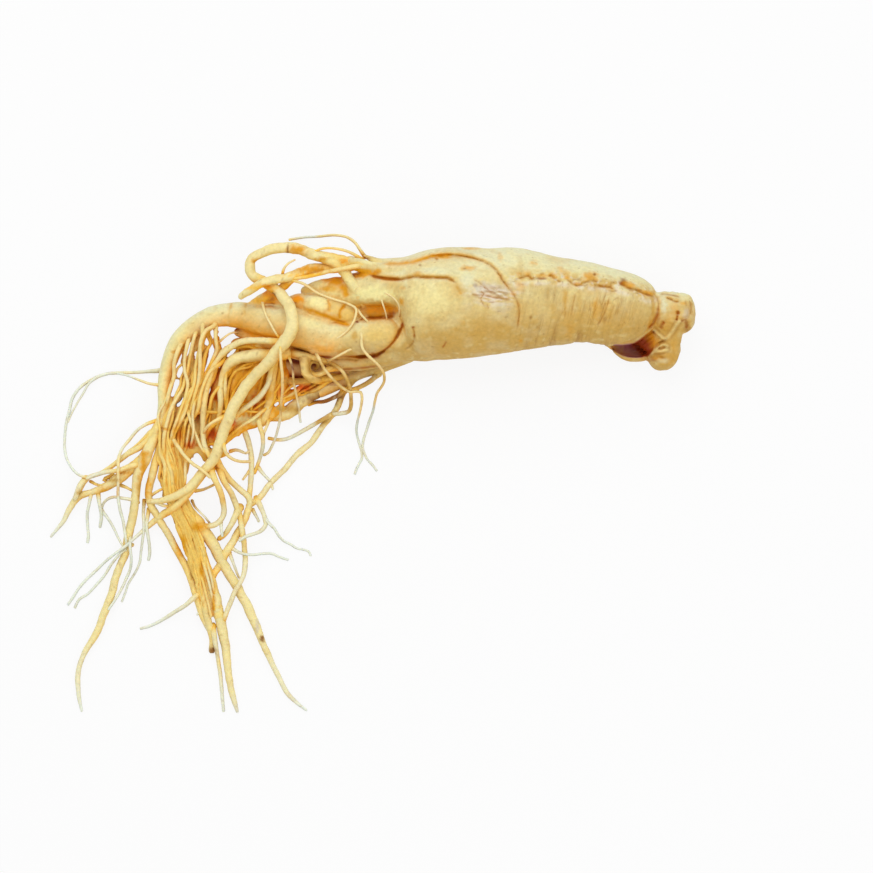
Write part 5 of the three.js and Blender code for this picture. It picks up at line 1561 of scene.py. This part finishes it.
def make_roots(flesh_points):
    """All the roots that aren't part of the flesh, as pieces from thick to thin."""
    root_heap, heap_points = make_heap()
    heap = Heap()
    heap.add_points(heap_points)
    fine = fine_roots(heap)
    heap.add_points(flesh_points)
    loop = [point for point in LOOP_ROOT if not (point[0] > -5 and point[1] > 60)]
    routes = [loop, LOOP_FORK, LOOP_ROOT_BRANCH, HAIRPIN_ROOT, HAIRPIN_WEB, UNDER_ROOT[2:],
              BUNDLE_STUB, *ARCH_ROOTS, *FANNED_ROOTS]
    thick = [smooth_route(route, 0.6) for route in routes]
    for rows in thick:
        heap.add_rows(rows)
    thin = []
    for rootlet in ROOTLETS:
        thin.append(drape(heap, tapered(*rootlet)))
        heap.add_rows(thin[-1])
    # How crowded each root is sets its golden painted shading; roots raised above 5 mm get some too
    crowds = crowding(thick + fine + thin)
    for crowd, rows in zip(crowds[len(thick):], fine + thin):
        np.maximum(crowd, np.minimum(ramp(rows[:, 2], 5, 8), 0.3), out=crowd)
    crowds = iter([0.6 * crowd for crowd in crowds[:len(thick)]] + crowds[len(thick):])
    return [root_heap,
            join_strands("side_roots", thick, THICK_SIDES, crowds),
            join_strands("fine_roots", fine, THIN_SIDES, crowds),
            join_strands("rootlets", thin, THIN_SIDES, crowds)]


# ------------------------ materials, light and stage


def set_inputs(tree, node, inputs):
    """Gives each named input of a node its value, or links the output that feeds it."""
    for name, value in inputs.items():
        if isinstance(value, bpy.types.NodeSocket):
            tree.links.new(value, node.inputs[name])
        else:
            node.inputs[name].default_value = value


def socket(tree, kind, output, inputs=None, **settings):
    """The named output of a new shader node that has these inputs and settings."""
    node = tree.nodes.new("ShaderNode" + kind)
    for name, value in settings.items():
        setattr(node, name, value)
    set_inputs(tree, node, inputs or {})
    return node.outputs[output]


def new_material(name):
    """A material, its node tree and the shader in it."""
    material = bpy.data.materials.new(name)
    material.use_nodes = True
    return material, material.node_tree, material.node_tree.nodes["Principled BSDF"]


def skin_material(name):
    """Waxy, slightly translucent skin whose base colour is the mesh's own tint."""
    material, tree, shader = new_material(name)
    place = socket(tree, "TexCoord", "Object")
    tint = socket(tree, "VertexColor", "Color", layer_name="tint")
    speckle = socket(tree, "TexNoise", "Fac", {"Vector": place, "Scale": SPECKLES, "Detail": 4})
    spread = socket(tree, "MapRange", "Result", {
        "Value": speckle, "From Min": 0.3, "From Max": 0.7, "To Min": 0.9, "To Max": 1.05})
    shade = socket(tree, "VectorMath", "Vector", {0: tint, "Scale": spread}, operation="SCALE")
    lines = wrinkle_lines(tree, place)
    depth = socket(tree, "Math", "Value", {0: lines, 1: 0.45}, operation="MULTIPLY")
    dark = socket(tree, "Mix", "Result", {"Factor": depth, "A": shade, "B": (*BARK, 1)},
                  data_type="RGBA")
    grain = socket(tree, "TexNoise", "Fac", {"Vector": place, "Scale": GRAIN, "Detail": 5})
    relief = socket(tree, "Math", "Value", {0: grain, 1: lines}, operation="SUBTRACT")
    raised = socket(tree, "Bump", "Normal", {"Height": relief, "Strength": 0.25,
                                             "Distance": 0.0003})
    set_inputs(tree, shader, {
        "Base Color": dark, "Normal": raised, "Roughness": 0.52, "Specular IOR Level": 0.2,
        "Subsurface Weight": 0.15, "Subsurface Radius": (1.0, 0.75, 0.4),
        "Subsurface Scale": 0.0016})
    return material


def wrinkle_lines(tree, place):
    """A socket that is 1 in fine wrinkles round the taproot, where the mesh is "lined"."""
    turned = socket(tree, "VectorRotate", "Vector", {"Vector": place, "Angle": 0.25},
                    rotation_type="Z_AXIS")
    drawn_out = socket(tree, "Mapping", "Vector", {"Vector": turned, "Scale": (1, 0.13, 0.1)})
    streaks = socket(tree, "TexNoise", "Fac", {"Vector": drawn_out, "Scale": FINE_WRINKLES,
                                               "Detail": 2})
    off = socket(tree, "Math", "Value", {0: streaks, 1: 0.5}, operation="SUBTRACT")
    away = socket(tree, "Math", "Value", {0: off}, operation="ABSOLUTE")
    sharp = socket(tree, "MapRange", "Result", {
        "Value": away, "From Min": 0, "From Max": 0.03, "To Min": 1, "To Max": 0})
    shown = socket(tree, "Attribute", "Fac", attribute_name="lined")
    return socket(tree, "Math", "Value", {0: sharp, 1: shown}, operation="MULTIPLY")


def floor_material():
    """White that glows towards the camera, so that the floor stays white round the shadow."""
    material, tree, shader = new_material("floor")
    set_inputs(tree, shader, {"Base Color": (0.8, 0.8, 0.8, 1), "Roughness": 0.9})
    glow = socket(tree, "Emission", "Emission", {"Strength": 1.0})
    seen = socket(tree, "LightPath", "Is Camera Ray")
    share = socket(tree, "Math", "Value", {0: seen, 1: FLOOR_GLOW}, operation="MULTIPLY")
    blend = socket(tree, "MixShader", "Shader", {"Fac": share, 1: shader.outputs["BSDF"], 2: glow})
    set_inputs(tree, tree.nodes["Material Output"], {"Surface": blend})
    return material


def make_stage():
    """A white surface that keeps the root's soft shadow, the lamps and the room's light."""
    bpy.ops.mesh.primitive_plane_add(size=FLOOR_SIZE)
    floor = bpy.context.object
    floor.name = "floor"
    floor.data.materials.append(floor_material())

    add_lamp("key", KEY_PLACE, KEY_POWER)
    add_lamp("fill", FILL_PLACE, FILL_POWER)
    world = bpy.data.worlds.new("room")
    world.use_nodes = True
    set_inputs(world.node_tree, world.node_tree.nodes["Background"],
               {"Color": (1, 1, 1, 1), "Strength": ROOM_LIGHT})
    bpy.context.scene.world = world
    bpy.context.scene.view_settings.view_transform = "Standard"


def add_lamp(name, place, power):
    """A square soft lamp at `place`, in metres, that faces the middle of the root."""
    data = bpy.data.lights.new(name, "AREA")
    data.size, data.energy = LAMP_SIZE, power
    lamp = bpy.data.objects.new(name, data)
    lamp.location = place
    aim = Vector((MIDDLE_OF_VIEW[0] * MM, MIDDLE_OF_VIEW[1] * MM, 0))
    lamp.rotation_euler = (lamp.location - aim).to_track_quat("Z", "Y").to_euler()
    bpy.context.collection.objects.link(lamp)


make_stage()
flesh, flesh_points = make_flesh()
pieces = [flesh, *make_roots(flesh_points)]
for piece in pieces:
    piece.data.materials.append(skin_material(piece.name + "_skin"))
    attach(piece, "root")
    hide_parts(NODE)
